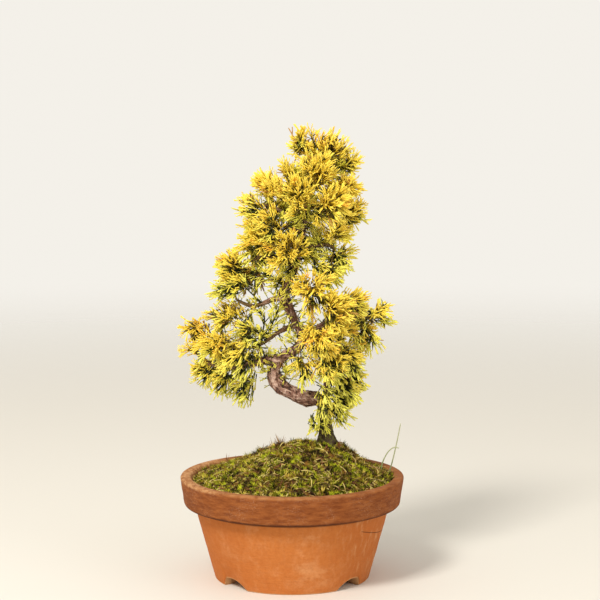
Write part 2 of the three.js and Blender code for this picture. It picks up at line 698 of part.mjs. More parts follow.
class Spray {
  constructor(seat, obstacles, random) {
    Object.assign(this, seat);
    this.obstacles = obstacles;
    this.random = random;
    this.whipsLeft = Math.round(this.reach ** 2 / SHOOT.areaPerWhip);
    this.facets = [];
    this.tips = [];
    this.growStem();
  }

  jitter(size) {
    const spread = () => (this.random() - 0.5) * 2 * size;
    return new THREE.Vector3(spread(), spread(), spread());
  }

  // The stem's rings from the seat through the centre, on the first heading that is clear.
  planStem(heading, wander) {
    const start = this.seat.clone().addScaledVector(this.heading, TOUCH_GAP);
    const length = start.distanceTo(this.centre) + SHOOT.stemBeyond * this.reach;
    const steps = Math.max(3, Math.round(length / SHOOT.stemStep));
    const centres = [start];
    for (let i = 1; i <= steps; i += 1) {
      const course = heading.clone().add(this.jitter(wander)).normalize();
      centres.push(centres[i - 1].clone().addScaledVector(course, length / steps));
    }
    const radiusAt = (i) => lerp(SHOOT.stemRadius, SHOOT.stemEndRadius, i / steps);
    const pieces = centres.slice(1).map((centre, i) => (
      capsule(centres[i], centre, radiusAt(i), radiusAt(i + 1), this.name)
    ));
    for (const piece of pieces.slice(0, 2)) piece.seatedOn = twigName(this.name);
    return { centres, pieces, radiusAt };
  }

  growStem() {
    let plan;
    for (let wander = 0.15; wander < 1.2; wander += 0.05) {
      const towards = this.centre.clone().sub(this.seat).normalize().lerp(this.heading, 0.3);
      const heading = towards.add(this.jitter(wander - 0.1)).normalize();
      plan = this.planStem(heading, 0.2);
      if (plan.centres.every(inBounds) && this.obstacles.clears(plan.pieces, this.name)) break;
      plan = null;
    }
    if (!plan) throw new Error(`${this.name} has no room for its stem`);
    const { centres, pieces, radiusAt } = plan;
    const axis = centres[1].clone().sub(centres[0]).normalize();
    this.skin = new Skin(ringAbout(centres[0], axis, radiusAt(0)));
    for (let i = 1; i < centres.length; i += 1) {
      const course = centres[i].clone().sub(centres[i - 1]).normalize();
      const ring = this.skin.ringFrom(this.skin.front, centres[i], course, radiusAt(i), SHOOT.stemTwist);
      for (const face of this.skin.extend(this.skin.front, ring)) this.facets.push({ face, course });
    }
    const last = centres.at(-1).clone().sub(centres.at(-2)).normalize();
    this.facets.push({ face: this.skin.front, course: last });
    this.obstacles.capsules.push(...pieces);
  }

  // A whip from a facet, aimed so that it ends on the spray's outer form.
  planWhip({ face, course }) {
    const { centre, normal } = this.skin.facet(face);
    const aim = normal.clone().addScaledVector(course, 0.2 + 0.9 * this.random()).add(this.jitter(0.35));
    aim.addScaledVector(UP, 0.2).normalize();
    if (aim.dot(normal) < 0.35) return null;
    const offset = centre.clone().sub(this.centre);
    const reach = this.reach * (0.88 + 0.2 * this.random());
    const along = offset.dot(aim);
    const inside = along ** 2 - offset.lengthSq() + reach ** 2;
    if (inside <= 0) return null;
    const length = Math.sqrt(inside) - along;
    if (length < SHOOT.shortest || length > SHOOT.longest) return null;
    const start = normal.clone().lerp(aim, 0.5).normalize();
    const nodes = [centre, centre.clone().addScaledVector(start, SHOOT.firstRing * length)];
    const tip = centre.clone().addScaledVector(aim, length);
    const axis = tip.clone().sub(nodes[1]).normalize();
    for (let ring = 0; ring < SHOOT.forkRings; ring += 1) {
      nodes.push(nodes.at(-1).clone().addScaledVector(axis, SHOOT.forkStep * length));
    }
    nodes.push(tip);
    if (!inBounds(tip)) return null;
    const pieces = nodes.slice(1).map((node, i) => (
      capsule(nodes[i], node, SHOOT.radius, node === tip ? 0.05 : SHOOT.radius, this.name)
    ));
    pieces[0].base = true;
    return { face, nodes, axis, length, pieces };
  }

  // How far a tip stands from the tips there are, more where it is on the outer side.
  worth(tip, tips) {
    const nearest = tips.reduce((least, other) => Math.min(least, other.distanceTo(tip)), this.reach);
    const outward = tip.clone().sub(this.centre).normalize().dot(this.heading);
    return nearest * (1 + 0.25 * outward);
  }

  bestWhip(neighbourTips) {
    let best = null;
    for (const facet of this.facets) {
      for (let attempt = 0; attempt < SHOOT.triesPerFacet; attempt += 1) {
        const whip = this.planWhip(facet);
        if (!whip) continue;
        const worth = this.worth(whip.nodes.at(-1), neighbourTips);
        if (best && worth <= best.worth) continue;
        if (this.obstacles.clears(whip.pieces, this.name)) best = { ...whip, facet, worth };
      }
    }
    return best;
  }

  growWhip(neighbourTips) {
    for (let attempt = 0; attempt < SHOOT.triesPerWhip; attempt += 1) {
      const whip = this.bestWhip(neighbourTips);
      if (!whip) return false;
      if (this.raiseWhip(whip)) return true;
    }
    return false;
  }

  // Raises a whip and its side shoots, or nothing where it would cross the spray's own skin.
  raiseWhip({ facet, face, nodes, axis, length, pieces }) {
    const { skin } = this;
    const saved = skin.save();
    skin.extend(face, skin.ringFrom(face, nodes[1], axis, SHOOT.radius));
    const sides = nodes.slice(2, -1).flatMap((node) => (
      skin.extend(face, skin.ringFrom(face, node, axis, SHOOT.radius, SHOOT.stemTwist))
    ));
    skin.spike(face, nodes.at(-1));
    if (skin.crossesSince(saved)) {
      skin.restore(saved);
      return false;
    }
    this.obstacles.capsules.push(...pieces);
    this.facets = this.facets.filter((other) => other !== facet);
    this.tips.push(nodes.at(-1));
    for (const side of sides) this.raiseShoot(side, axis, length);
    return true;
  }

  // A side shoot from a facet, where it finds room.
  raiseShoot(face, course, length) {
    const { centre, normal } = this.skin.facet(face);
    for (let attempt = 0; attempt < 5; attempt += 1) {
      const aim = normal.clone().addScaledVector(course, SHOOT.forkLean).add(this.jitter(0.45)).normalize();
      if (aim.dot(normal) < 0.4) continue;
      const tip = centre.clone().addScaledVector(aim, length * lerp(...SHOOT.forkReach, this.random()));
      const piece = capsule(centre.clone().lerp(tip, 0.3), tip, SHOOT.radius * 0.55, 0.05, this.name);
      const tooFar = tip.distanceTo(this.centre) > SHOOT.outermost * this.reach;
      if (tooFar || !inBounds(tip) || !this.obstacles.clears([piece], this.name)) continue;
      const saved = this.skin.save();
      this.skin.spike(face, tip);
      if (this.skin.crossesSince(saved)) {
        this.skin.restore(saved);
        continue;
      }
      this.obstacles.capsules.push(piece);
      this.tips.push(tip);
      return;
    }
  }

  // Short shoots from the stem facets that no whip took.
  raiseShortShoots() {
    for (const { face, course } of this.facets) this.raiseShoot(face, course, this.reach * 0.9);
  }
}

function growFoliage(seats) {
  const random = seededRandom(SHOOT.seed);
  const obstacles = new Obstacles();
  obstacles.addPath(TRUNK, 'wood', 1.14);
  for (const stations of Object.values(LIMBS)) obstacles.addPath(stations, 'wood');
  for (const seat of seats) obstacles.addPath(twigStations(seat), twigName(seat.name));
  const sprays = seats.map((seat) => new Spray(seat, obstacles, random));
  let growing = sprays;
  while (growing.length > 0) {
    for (const spray of growing) {
      const near = sprays.filter((other) => other.centre.distanceTo(spray.centre) < 2.2 * spray.reach);
      spray.whipsLeft -= 1;
      if (!spray.growWhip(near.flatMap((other) => other.tips))) spray.whipsLeft = 0;
    }
    growing = growing.filter((spray) => spray.whipsLeft > 0);
  }
  for (const spray of sprays) spray.raiseShortShoots();
  return sprays;
}

// Assembly

function addPart(group, name, geometry, material) {
  const mesh = new THREE.Mesh(geometry, material);
  mesh.name = name;
  group.add(mesh);
}

const bonsai = new THREE.Group();
const seats = SPRAYS.map(seatOf);

addPart(bonsai, 'pot', makePot(), MATERIALS.terracotta);
addPart(bonsai, 'drainage_screen', makeScreen(), MATERIALS.screen);
addPart(bonsai, 'soil', makeSoil(), MATERIALS.soil);
addPart(bonsai, 'moss_carpet', makeMoss(), MATERIALS.moss);
addPart(bonsai, 'trunk_and_branches', makeWood(seats), MATERIALS.bark);
for (const [name, stations] of Object.entries(GRASS)) {
  addPart(bonsai, name, bentTube(stations, 4, stations.length), MATERIALS.grass);
}
for (const spray of growFoliage(seats)) {
  const material = SHADED_SPRAY.test(spray.name) ? MATERIALS.greenFoliage : MATERIALS.goldFoliage;
  addPart(bonsai, `spray_${spray.name}`, spray.skin.geometry(), material);
}

export default bonsai;
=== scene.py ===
"""Looks of a golden shimpaku juniper bonsai in a round shallow terracotta training pot.

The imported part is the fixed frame. Sizes are written in millimetres and turned into metres by MM.
+Z is up, the tree's front faces -Y, and the origin is on the pot's axis, in the plane of its foot.
"""

import json
import logging
import math
from collections.abc import Iterable, Sequence
from dataclasses import dataclass, field
from enum import Enum
from typing import Protocol

import bmesh
import bpy
import numpy as np
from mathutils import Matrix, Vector, kdtree, noise

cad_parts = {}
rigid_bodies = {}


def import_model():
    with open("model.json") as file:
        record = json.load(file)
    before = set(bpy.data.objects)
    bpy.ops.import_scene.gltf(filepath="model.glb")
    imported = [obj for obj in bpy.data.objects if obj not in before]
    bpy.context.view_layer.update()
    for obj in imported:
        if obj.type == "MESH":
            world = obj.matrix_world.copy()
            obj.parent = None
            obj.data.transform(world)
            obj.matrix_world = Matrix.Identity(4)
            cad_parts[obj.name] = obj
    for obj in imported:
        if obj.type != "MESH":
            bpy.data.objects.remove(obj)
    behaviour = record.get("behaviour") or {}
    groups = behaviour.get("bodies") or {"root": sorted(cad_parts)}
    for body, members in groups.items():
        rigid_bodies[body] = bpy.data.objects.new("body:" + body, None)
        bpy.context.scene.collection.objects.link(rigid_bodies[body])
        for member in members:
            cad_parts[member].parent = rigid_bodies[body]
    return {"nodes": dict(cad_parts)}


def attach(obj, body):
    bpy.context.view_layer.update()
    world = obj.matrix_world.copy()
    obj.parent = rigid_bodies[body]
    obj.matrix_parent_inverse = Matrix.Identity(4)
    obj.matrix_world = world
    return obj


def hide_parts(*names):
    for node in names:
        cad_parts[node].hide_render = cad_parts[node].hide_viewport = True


LOG = logging.getLogger("bonsai")
MM = 0.001
TURN = 2 * math.pi
BODY = "root"
VECTOR = "FLOAT_VECTOR"

Socket = bpy.types.NodeSocket
Mesh = bpy.types.Mesh
Material = bpy.types.Material
Thing = bpy.types.Object
Triple = tuple[float, float, float]
Colour = Triple
Station = tuple[float, float, float, float]
Stations = tuple[Station, ...]
Faces = list[tuple[int, ...]]
Value = Socket | bpy.types.ID | float | int | bool | str | Sequence[float]
Inputs = dict[int | str, Value]

# Trunk and limbs: x, y, z and radius of each station
TRUNK: Stations = (
    (25, 2, 60, 5.0), (25, 2, 74, 7.6), (25, 2, 87, 8.8), (24.9, 2, 95, 7.8), (24.4, 1, 101, 5.7),
    (23.8, 1, 110, 4.5), (23.2, 0, 119, 4.3), (21.5, -1, 126.3, 4.7), (17, -2, 128.8, 5.1),
    (11.5, -3, 128.8, 5.3), (4.9, -4, 130.8, 5.2), (-2.9, -4, 134.6, 5.1), (-9.5, -4, 139.6, 5.3),
    (-12.8, -4, 146, 4.7), (-11.5, -4, 152.5, 3.7), (-7, -3, 158.5, 3.3), (-0.5, -1, 161.8, 3.3),
    (5, 2, 166, 3.3), (7.5, 4, 171.5, 3.3), (6, 5, 177, 3.2), (2.8, 4, 182, 2.9), (-0.5, 2, 189, 3.2),
    (-3.5, 1, 196, 3.7), (-6, 0, 202, 4.0), (-4.5, -1, 208.5, 3.1), (-1.4, -2, 214.5, 2.7),
    (2, -2, 224, 2.9), (4.2, -2, 233, 3.0), (7, 0, 246, 2.7), (5.8, 2, 259, 2.4), (9, 1, 275, 2.2),
    (14, 0, 289, 1.8), (18, 1, 300, 1.5),
)

LIMBS: dict[str, Stations] = {
    "left": (
        (-9, -4, 156, 3.3), (-15, -3, 157, 3.1), (-24, -3, 155, 2.7), (-33, -4, 152.8, 2.3),
        (-46, -4, 152, 1.9), (-58, -3, 154, 1.5), (-66, -1, 159.5, 1.3), (-70, 0, 166, 1.1),
    ),
    "left_riser": ((-46, -4, 152, 1.7), (-48, -4, 161, 1.4), (-50, -3, 170, 1.2), (-50, -3, 175, 1.1)),
    "left_diagonal": (
        (3, 4, 181, 2), (-4, 2, 178.5, 1.9), (-10.7, 1, 175.4, 1.7), (-16, 0, 171.5, 1.5),
        (-21.5, -2, 168, 1.3), (-28, -5, 166, 1.2), (-34, -8, 166, 1.1),
    ),
    "left_back": ((-11, -3, 152, 2.2), (-20, 4, 155, 1.8), (-32, 9, 158, 1.4), (-41, 12, 160, 1.1)),
    "mid_left": (
        (-6, 0, 201, 2.4), (-14, -1, 199.5, 2), (-21, -2, 196.5, 1.7), (-27.7, -2, 194.9, 1.5),
        (-33, -3, 196.5, 1.3), (-38.3, -3, 199, 1.1),
    ),
    "mid_left_up": (
        (2, -2, 222, 2), (-6, -1, 227, 1.7), (-15, -2, 230, 1.5), (-24, -2, 229, 1.3),
        (-32, -2, 226, 1.1),
    ),
    "mid_front": ((4, -2, 230, 1.8), (1, -6, 230, 1.4), (-2, -10, 230, 1.1)),
    "mid_back": ((4, -1, 232, 1.8), (6, 6, 234, 1.5), (8, 12, 235, 1.1)),
    "mid_back_left": ((3, -2, 226, 1.7), (-4, 5, 229, 1.4), (-12, 12, 229, 1.2), (-22, 15, 223, 1.1)),
    "mid_right": ((4.2, -2, 234, 1.9), (14, 0, 237, 1.6), (24, 2, 238, 1.3), (30, 3, 236, 1.1)),
    "right": (
        (7, 4, 172, 3), (14, 3, 176, 2.6), (22, 3, 181, 2.3), (32, 2, 186, 1.9), (42, 1, 189, 1.6),
        (52, 1, 188, 1.3), (57, 1, 184, 1.1),
    ),
    "right_front": (
        (6, 3, 168, 2.4), (10, -4, 171, 2), (15, -10, 174, 1.6), (20, -15, 178, 1.3),
        (24, -17, 184, 1.1),
    ),
    "right_crown": ((-4.5, 0, 205, 2), (1, -6, 205, 1.6), (6, -11, 205, 1.3), (11, -14, 205, 1.1)),
    "right_back": ((7, 5, 172, 2.2), (16, 10, 176, 1.7), (26, 14, 180, 1.3), (32, 16, 182, 1.1)),
    "droop": (
        (22.5, 0, 122, 3), (24, 1, 132, 2.4), (24.6, 1, 143, 2), (25.2, 0, 152, 1.6),
        (28, -3, 160, 1.3), (30, -6, 165, 1.1),
    ),
    "droop_right": ((24.6, 1, 141, 1.8), (31, 2, 147, 1.4), (38, 1, 149, 1.1)),
    "upper_left": ((6.8, 1, 250, 2), (-2, 1, 258, 1.7), (-12, 0, 264, 1.4), (-21, -1, 267, 1.1)),
    "upper_right": ((6.9, 1, 252, 2), (16, 1, 259, 1.7), (26, 0, 263, 1.4), (34, 0, 263, 1.1)),
    "upper_front": ((6.5, 1, 256, 1.8), (8, -5, 260, 1.5), (10, -11, 263, 1.1)),
    "upper_front_left": ((6.4, 0, 245, 1.7), (0, -6, 250, 1.4), (-5, -12, 252, 1.1)),
    "upper_back": ((6, 2, 258, 1.8), (8, 8, 261, 1.4), (12, 13, 263, 1.1)),
    "apex_right": ((13, 0, 287, 1.5), (21, 1, 291, 1.3), (29, 2, 294, 1.1)),
}

# Sizes of the pot and of the mound in it
POT_HEIGHT = 73.5
BAND_BASE = 53.0
SOIL_EDGE = 66.5
FLOOR_TOP = 13.5
FLOOR_RADIUS = 51.0
LIP_INNER = 72.4
WALL_RISE = 59.0
MOUND_CENTRE = (12.0, 5.0)
MOUND_RISE = 25.5
MOSS_DEPTH = 3.0
MOSS_SWELL = 1.3

# Words in the names of the sprays that are green rather than gold
SHADED = ("droop", "low", "hang", "inner", "back", "foot")


# Node trees


@dataclass(frozen=True)
class Pattern:
    """A noise, and the part of its range over which it comes to show."""

    low: float
    high: float
    scale: float
    detail: float = 3.0
    rough: float = 0.55
    twist: float = 0.0


class Graph:
    """Adds and links the nodes of one tree."""

    def __init__(self, tree: bpy.types.NodeTree) -> None:
        """Takes the tree that nodes are added to."""
        self.tree = tree

    @staticmethod
    def pick(sockets: Iterable[Socket], key: int | str) -> Socket:
        """Finds a socket by its place, or the first one in use with that name.

        Args:
            sockets: a node's inputs or outputs.
            key: the socket's place or name.

        Returns:
            The socket.
        """
        if isinstance(key, int):
            return list(sockets)[key]
        for socket in sockets:
            if socket.name == key and socket.enabled:
                return socket
        raise KeyError(key)

    def feed(self, socket: Socket, value: Value) -> None:
        """Links a socket to an input, or sets the input's own value.

        Args:
            socket: an input.
            value: what it gets.
        """
        if isinstance(value, Socket):
            self.tree.links.new(value, socket)
        else:
            socket.default_value = value

    def add(self, kind: str, inputs: Inputs | None = None, **settings: object) -> bpy.types.Node:
        """Adds a node.

        Args:
            kind: the node's type.
            inputs: values or sockets for its inputs, by name or place.
            settings: the node's own properties.

        Returns:
            The node.
        """
        node = self.tree.nodes.new(kind)
        for name, value in settings.items():
            setattr(node, name, value)
        for key, value in (inputs or {}).items():
            self.feed(self.pick(node.inputs, key), value)
        return node

    def out(self, kind: str, output: int | str, inputs: Inputs | None = None, **settings: object) -> Socket:
        """Adds a node and gives one of its outputs."""
        return self.pick(self.add(kind, inputs, **settings).outputs, output)

    def math(self, operation: str, *values: Value) -> Socket:
        """A number worked out from others, two at a time and from the first on.

        Args:
            operation: what is worked out.
            values: the numbers.

        Returns:
            The result.
        """
        total = values[0]
        for value in values[1:] or (0.0,):
            total = self.out("ShaderNodeMath", 0, {0: total, 1: value}, operation=operation)
        return total

    def plus(self, *values: Value) -> Socket:
        """The sum of numbers."""
        return self.math("ADD", *values)

    def times(self, *values: Value) -> Socket:
        """The product of numbers."""
        return self.math("MULTIPLY", *values)

    def minus(self, first: Value, second: Value) -> Socket:
        """The first number less the second."""
        return self.math("SUBTRACT", first, second)

    def vector(self, operation: str, *values: Value) -> Socket:
        """A vector, or a vector's length or product, worked out from others.

        Args:
            operation: what is worked out.
            values: the vectors, or for SCALE a vector and a number.

        Returns:
            The vector or the number.
        """
        inputs: Inputs = dict(enumerate(values))
        if operation == "SCALE":
            inputs = {0: values[0], "Scale": values[1]}
        node = self.add("ShaderNodeVectorMath", inputs, operation=operation)
        return self.pick(node.outputs, "Value" if operation in ("LENGTH", "DOT_PRODUCT") else "Vector")

    def height_of(self, vector: Value) -> Socket:
        """A vector's upright part."""
        return self.out("ShaderNodeSeparateXYZ", 2, {0: vector})

    def upright(self, height: Value) -> Socket:
        """A vector that points straight up, of a given length."""
        return self.out("ShaderNodeCombineXYZ", 0, {2: height})

    def spread(self, value: Value, low: float, high: float, to_low: Value = 0.0,
               to_high: Value = 1.0) -> Socket:
        """Maps a number from one range to another, smoothly, and stops at the ends.

        Args:
            value: the number.
            low: the number that gives to_low.
            high: the number that gives to_high.
            to_low: the new range's first end.
            to_high: its last end.

        Returns:
            The mapped number.
        """
        return self.out("ShaderNodeMapRange", 0, {
            "Value": value, "From Min": low, "From Max": high, "To Min": to_low, "To Max": to_high,
        }, interpolation_type="SMOOTHSTEP")

    def noise(self, place: Value, scale: Value, detail: float = 3.0, rough: float = 0.55,
              twist: float = 0.0) -> Socket:
        """A noise between 0 and 1 at a place.

        Args:
            place: where it is read.
            scale: how fine it is.
            detail: how many finer layers it has.
            rough: how strong those layers are.
            twist: how far it is warped.

        Returns:
            The noise.
        """
        return self.out("ShaderNodeTexNoise", 0, {
            "Vector": place, "Scale": scale, "Detail": detail, "Roughness": rough, "Distortion": twist,
        })

    def swing(self, place: Value, *noise_values: float) -> Socket:
        """A noise that swings about zero at a place."""
        return self.minus(self.noise(place, *noise_values), 0.5)

    def blend(self, amount: Value, first: Value, second: Value) -> Socket:
        """Mixes two colours.

        Args:
            amount: how much of the second colour shows.
            first: a colour.
            second: another colour.

        Returns:
            The mixed colour.
        """
        shades = [(*shade, 1.0) if isinstance(shade, tuple) else shade for shade in (first, second)]
        return self.out("ShaderNodeMix", "Result", {
            "Factor": amount, "A": shades[0], "B": shades[1],
        }, data_type="RGBA")

    def lay(self, under: Value, over: Value, mask: Value, strength: Value) -> Socket:
        """Lays one colour over another where a mask shows, as strongly as given."""
        return self.blend(self.times(mask, strength), under, over)

    def ramp(self, value: Value, *stops: tuple[float, Colour]) -> Socket:
        """A colour from a scale of stops.

        Args:
            value: the place on the scale.
            stops: the place and the colour of each stop.

        Returns:
            The colour.
        """
        node = self.add("ShaderNodeValToRGB", {0: value})
        scale = node.color_ramp.elements
        while len(scale) < len(stops):
            scale.new(0.5)
        for element, (place, shade) in zip(scale, stops):
            element.position = place
            element.color = (*shade, 1.0)
        return node.outputs[0]

    def reading(self, name: str, kind: str = "FLOAT") -> Socket:
        """Reads a named attribute in a geometry tree."""
        return self.out("GeometryNodeInputNamedAttribute", "Attribute", {"Name": name}, data_type=kind)

    def store(self, geometry: Value, name: str, value: Value, kind: str = "FLOAT") -> Socket:
        """Stores a named attribute at a geometry's points.

        Args:
            geometry: the geometry.
            name: the attribute's name.
            value: what is stored.
            kind: the attribute's type.

        Returns:
            The geometry with its attribute.
        """
        return self.out("GeometryNodeStoreNamedAttribute", "Geometry", {
            "Geometry": geometry, "Name": name, "Value": value,
        }, data_type=kind, domain="POINT")

    def random(self, low: Value, high: Value, seed: Value, kind: str = "FLOAT") -> Socket:
        """A seeded random value for each element."""
        return self.out("FunctionNodeRandomValue", "Value", {"Min": low, "Max": high, "Seed": seed},
                        data_type=kind)

    def astray(self, most: float, seed: Value) -> Socket:
        """A seeded random vector for each element, each part of it at most as given."""
        return self.random((-most,) * 3, (most,) * 3, seed, VECTOR)

    def seeded(self, seed: Value, offset: int) -> Socket:
        """A seed of its own for one use, from the tree's seed."""
        return self.plus(seed, float(offset))

    def moved(self, geometry: Value, offset: Value) -> Socket:
        """Moves a geometry's points."""
        return self.out("GeometryNodeSetPosition", 0, {"Geometry": geometry, "Offset": offset})

    def aimed(self, aim: Value) -> Socket:
        """A turn that points +Z along an aim."""
        return self.out("FunctionNodeAlignRotationToVector", 0, {"Vector": aim}, axis="Z")

    def rolled(self, aim: Value, seed: Value) -> Socket:
        """A turn that points +Z along an aim, rolled about it by chance.

        Args:
            aim: where +Z points.
            seed: the roll's seed.

        Returns:
            The turn.
        """
        roll = self.out("FunctionNodeAxisAngleToRotation", 0, {
            "Axis": (0.0, 0.0, 1.0), "Angle": self.random(0.0, TURN, seed)})
        return self.out("FunctionNodeRotateRotation", 0, {0: self.aimed(aim), 1: roll},
                        rotation_space="LOCAL")

    def stand(self, points: Value, shapes: Value, turned: Value, which: Value, size: Value) -> Socket:
        """Stands one of a collection's shapes at each point.

        Args:
            points: the points.
            shapes: the collection.
            turned: the turn of the shape at each point.
            which: the number of the shape at each point.
            size: the size of the shape at each point.

        Returns:
            The shapes, as instances.
        """
        parts = self.out("GeometryNodeCollectionInfo", 0, {
            0: shapes, "Separate Children": True, "Reset Children": True})
        return self.out("GeometryNodeInstanceOnPoints", 0, {
            "Points": points, "Pick Instance": True, "Rotation": turned, "Instance": parts,
            "Instance Index": which, "Scale": size,
        })

    def join(self, *parts: Socket) -> Socket:
        """Joins geometries.

        Args:
            parts: the geometries, in order.

        Returns:
            One geometry.
        """
        node = self.add("GeometryNodeJoinGeometry")
        for part in reversed(parts):
            self.tree.links.new(part, node.inputs[0])
        return node.outputs[0]


def new_object(name: str, data: bpy.types.ID) -> Thing:
    """Makes an object in the scene."""
    thing = bpy.data.objects.new(name, data)
    bpy.context.scene.collection.objects.link(thing)
    return thing


def made_plain(carrier: Thing) -> Mesh:
    """Turns what an object's modifiers make into a plain mesh, and removes the object.

    Args:
        carrier: the object.

    Returns:
        The mesh.
    """
    depsgraph = bpy.context.evaluated_depsgraph_get()
    mesh = bpy.data.meshes.new_from_object(
        carrier.evaluated_get(depsgraph), preserve_all_data_layers=True, depsgraph=depsgraph)
    carrier.modifiers.clear()
    bpy.data.objects.remove(carrier)
    return mesh


@dataclass
class GrowthTree:
    """A geometry tree with named inputs, run on a mesh to give a plain mesh."""

    name: str
    inputs: dict[str, str]
    graph: Graph = field(init=False)
    given: dict[str, Socket] = field(init=False)

    def __post_init__(self) -> None:
        """Makes the empty tree and its sockets."""
        tree = bpy.data.node_groups.new(self.name, "GeometryNodeTree")
        tree.interface.new_socket("Geometry", in_out="INPUT", socket_type="NodeSocketGeometry")
        for name, kind in self.inputs.items():
            tree.interface.new_socket(name, in_out="INPUT", socket_type="NodeSocket" + kind)
        tree.interface.new_socket("Geometry", in_out="OUTPUT", socket_type="NodeSocketGeometry")
        self.graph = Graph(tree)
        entry = self.graph.add("NodeGroupInput")
        self.given = {socket.name: socket for socket in entry.outputs if socket.name}

    def finish(self, geometry: Socket) -> None:
        """Closes the tree: real geometry, smooth, in the given finish.

        Args:
            geometry: what the tree has grown.
        """
        graph = self.graph
        real = graph.out("GeometryNodeRealizeInstances", 0, {0: geometry})
        smooth = graph.out("GeometryNodeSetShadeSmooth", 0, {"Geometry": real})
        dressed = graph.out("GeometryNodeSetMaterial", 0, {
            "Geometry": smooth, "Material": self.given["Finish"],
        })
        graph.add("NodeGroupOutput", {0: dressed})

    def grow(self, mesh: Mesh, name: str, **values: object) -> Mesh:
        """Runs the tree on a mesh.

        Args:
            mesh: the mesh to start from.
            name: the new mesh's name.
            values: the tree's inputs, with underscores for spaces.

        Returns:
            The grown mesh, with its finish.
        """
        carrier = new_object(name + "_carrier", mesh)
        modifier = carrier.modifiers.new("grow", "NODES")
        modifier.node_group = self.graph.tree
        wanted = {key.replace("_", " "): value for key, value in values.items()}
        for item in self.graph.tree.interface.items_tree:
            if item.in_out == "INPUT" and item.name in wanted:
                modifier[item.identifier] = wanted[item.name]
        grown = made_plain(carrier)
        grown.name = name
        return grown


# Mesh tools


def store_on(mesh: Mesh, name: str, values: np.ndarray) -> None:
    """Stores a number, or a vector, at each of a mesh's points.

    Args:
        mesh: the mesh.
        name: the attribute's name.
        values: a number or a row of three for each point.
    """
    if values.ndim == 1:
        mesh.attributes.new(name, "FLOAT", "POINT").data.foreach_set("value", values)
    else:
        mesh.attributes.new(name, VECTOR, "POINT").data.foreach_set("vector", values.ravel())


class Shell:
    """Closed shells under construction, with values at their vertices."""

    def __init__(self) -> None:
        """Starts empty."""
        self.points: list[np.ndarray] = []
        self.faces: Faces = []
        self.values: dict[str, list[float]] = {}
        self.count = 0

    @classmethod
    def of(cls, points: np.ndarray, faces: Faces, **values: Sequence[float] | float) -> "Shell":
        """Starts with one closed shell."""
        shell = cls()
        shell.add(points, faces, **values)
        return shell

    def add(self, points: np.ndarray, faces: Faces, **values: Sequence[float] | float) -> None:
        """Adds a closed shell.

        Args:
            points: its points, in millimetres.
            faces: the corners of its faces.
            values: what to store at its points, a number for each or one for all.
        """
        self.faces += [tuple(corner + self.count for corner in face) for face in faces]
        self.points.append(points)
        self.count += len(points)
        for name, given in values.items():
            numbers = [given] * len(points) if isinstance(given, float) else given
            self.values.setdefault(name, []).extend(numbers)

    def mesh(self, name: str, finish: Material | None = None) -> Mesh:
        """Turns the shells into a smooth mesh in metres, in a finish where one is given.

        Args:
            name: the mesh's name.
            finish: the finish.

        Returns:
            The mesh.
        """
        mesh = bpy.data.meshes.new(name)
        mesh.from_pydata((np.concatenate(self.points) * MM).tolist(), [], self.faces)
        for key, numbers in self.values.items():
            store_on(mesh, key, np.array(numbers))
        mesh.shade_smooth()
        if finish:
            mesh.materials.append(finish)
        return mesh

    def shape(self, name: str) -> Thing:
        """Turns the shells into an object that stands in no scene, for a growth tree to pick."""
        return bpy.data.objects.new(name, self.mesh(name))


def unit(vector: np.ndarray) -> np.ndarray:
    """A vector, or rows of vectors, at length one."""
    return vector / np.maximum(np.linalg.norm(vector, axis=-1, keepdims=True), 1e-9)


def direction(lean: float, turn: float) -> np.ndarray:
    """A vector of length one that leans away from +Z, towards a bearing."""
    return np.array([math.cos(turn) * math.sin(lean), math.sin(turn) * math.sin(lean), math.cos(lean)])


def ring_angles(count: int) -> np.ndarray:
    """Even angles right round."""
    return np.arange(count) * TURN / count


def frames(path: np.ndarray) -> tuple[np.ndarray, np.ndarray, np.ndarray]:
    """Directions along a path and two across it that turn as little as they can.

    Args:
        path: the points of the path.

    Returns:
        The tangents, the normals and the binormals.
    """
    tangents = unit(np.gradient(path, axis=0))
    normal = np.array([0.3, -1.0, 0.1])
    normals = []
    for tangent in tangents:
        normal = normal - normal.dot(tangent) * tangent
        if np.linalg.norm(normal) < 1e-3:
            normal = np.cross(tangent, [0.0, 0.0, 1.0])
        normal = unit(normal)
        normals.append(normal)
    across = np.array(normals)
    return tangents, across, np.cross(tangents, across)


def tube(path: np.ndarray, radii: np.ndarray, sides: int) -> tuple[np.ndarray, Faces]:
    """A closed tube along a path, its end drawn to a point where the last radius is zero.

    Args:
        path: the points of the path.
        radii: the radius at each point, or at each point and side.
        sides: the number of sides.

    Returns:
        The points and the faces.
    """
    _, normals, binormals = frames(path)
    angles = ring_angles(sides)[None, :, None]
    out = np.cos(angles) * normals[:, None] + np.sin(angles) * binormals[:, None]
    reach = np.broadcast_to(np.asarray(radii).reshape(len(path), -1), (len(path), sides))
    pointed = float(reach[-1].max()) == 0.0
    rings = path[:, None] + out * reach[:, :, None]
    kept = len(path) - 1 if pointed else len(path)
    points = rings[:kept].reshape(-1, 3)
    faces: Faces = [tuple(reversed(range(sides)))]
    for ring in range(kept - 1):
        for side in range(sides):
            here, there = ring * sides + side, ring * sides + (side + 1) % sides
            faces.append((here, there, there + sides, here + sides))
    last = (kept - 1) * sides
    if pointed:
        points = np.vstack([points, path[-1]])
        faces += [(last + side, last + (side + 1) % sides, kept * sides) for side in range(sides)]
    else:
        faces.append(tuple(range(last, last + sides)))
    return points, faces


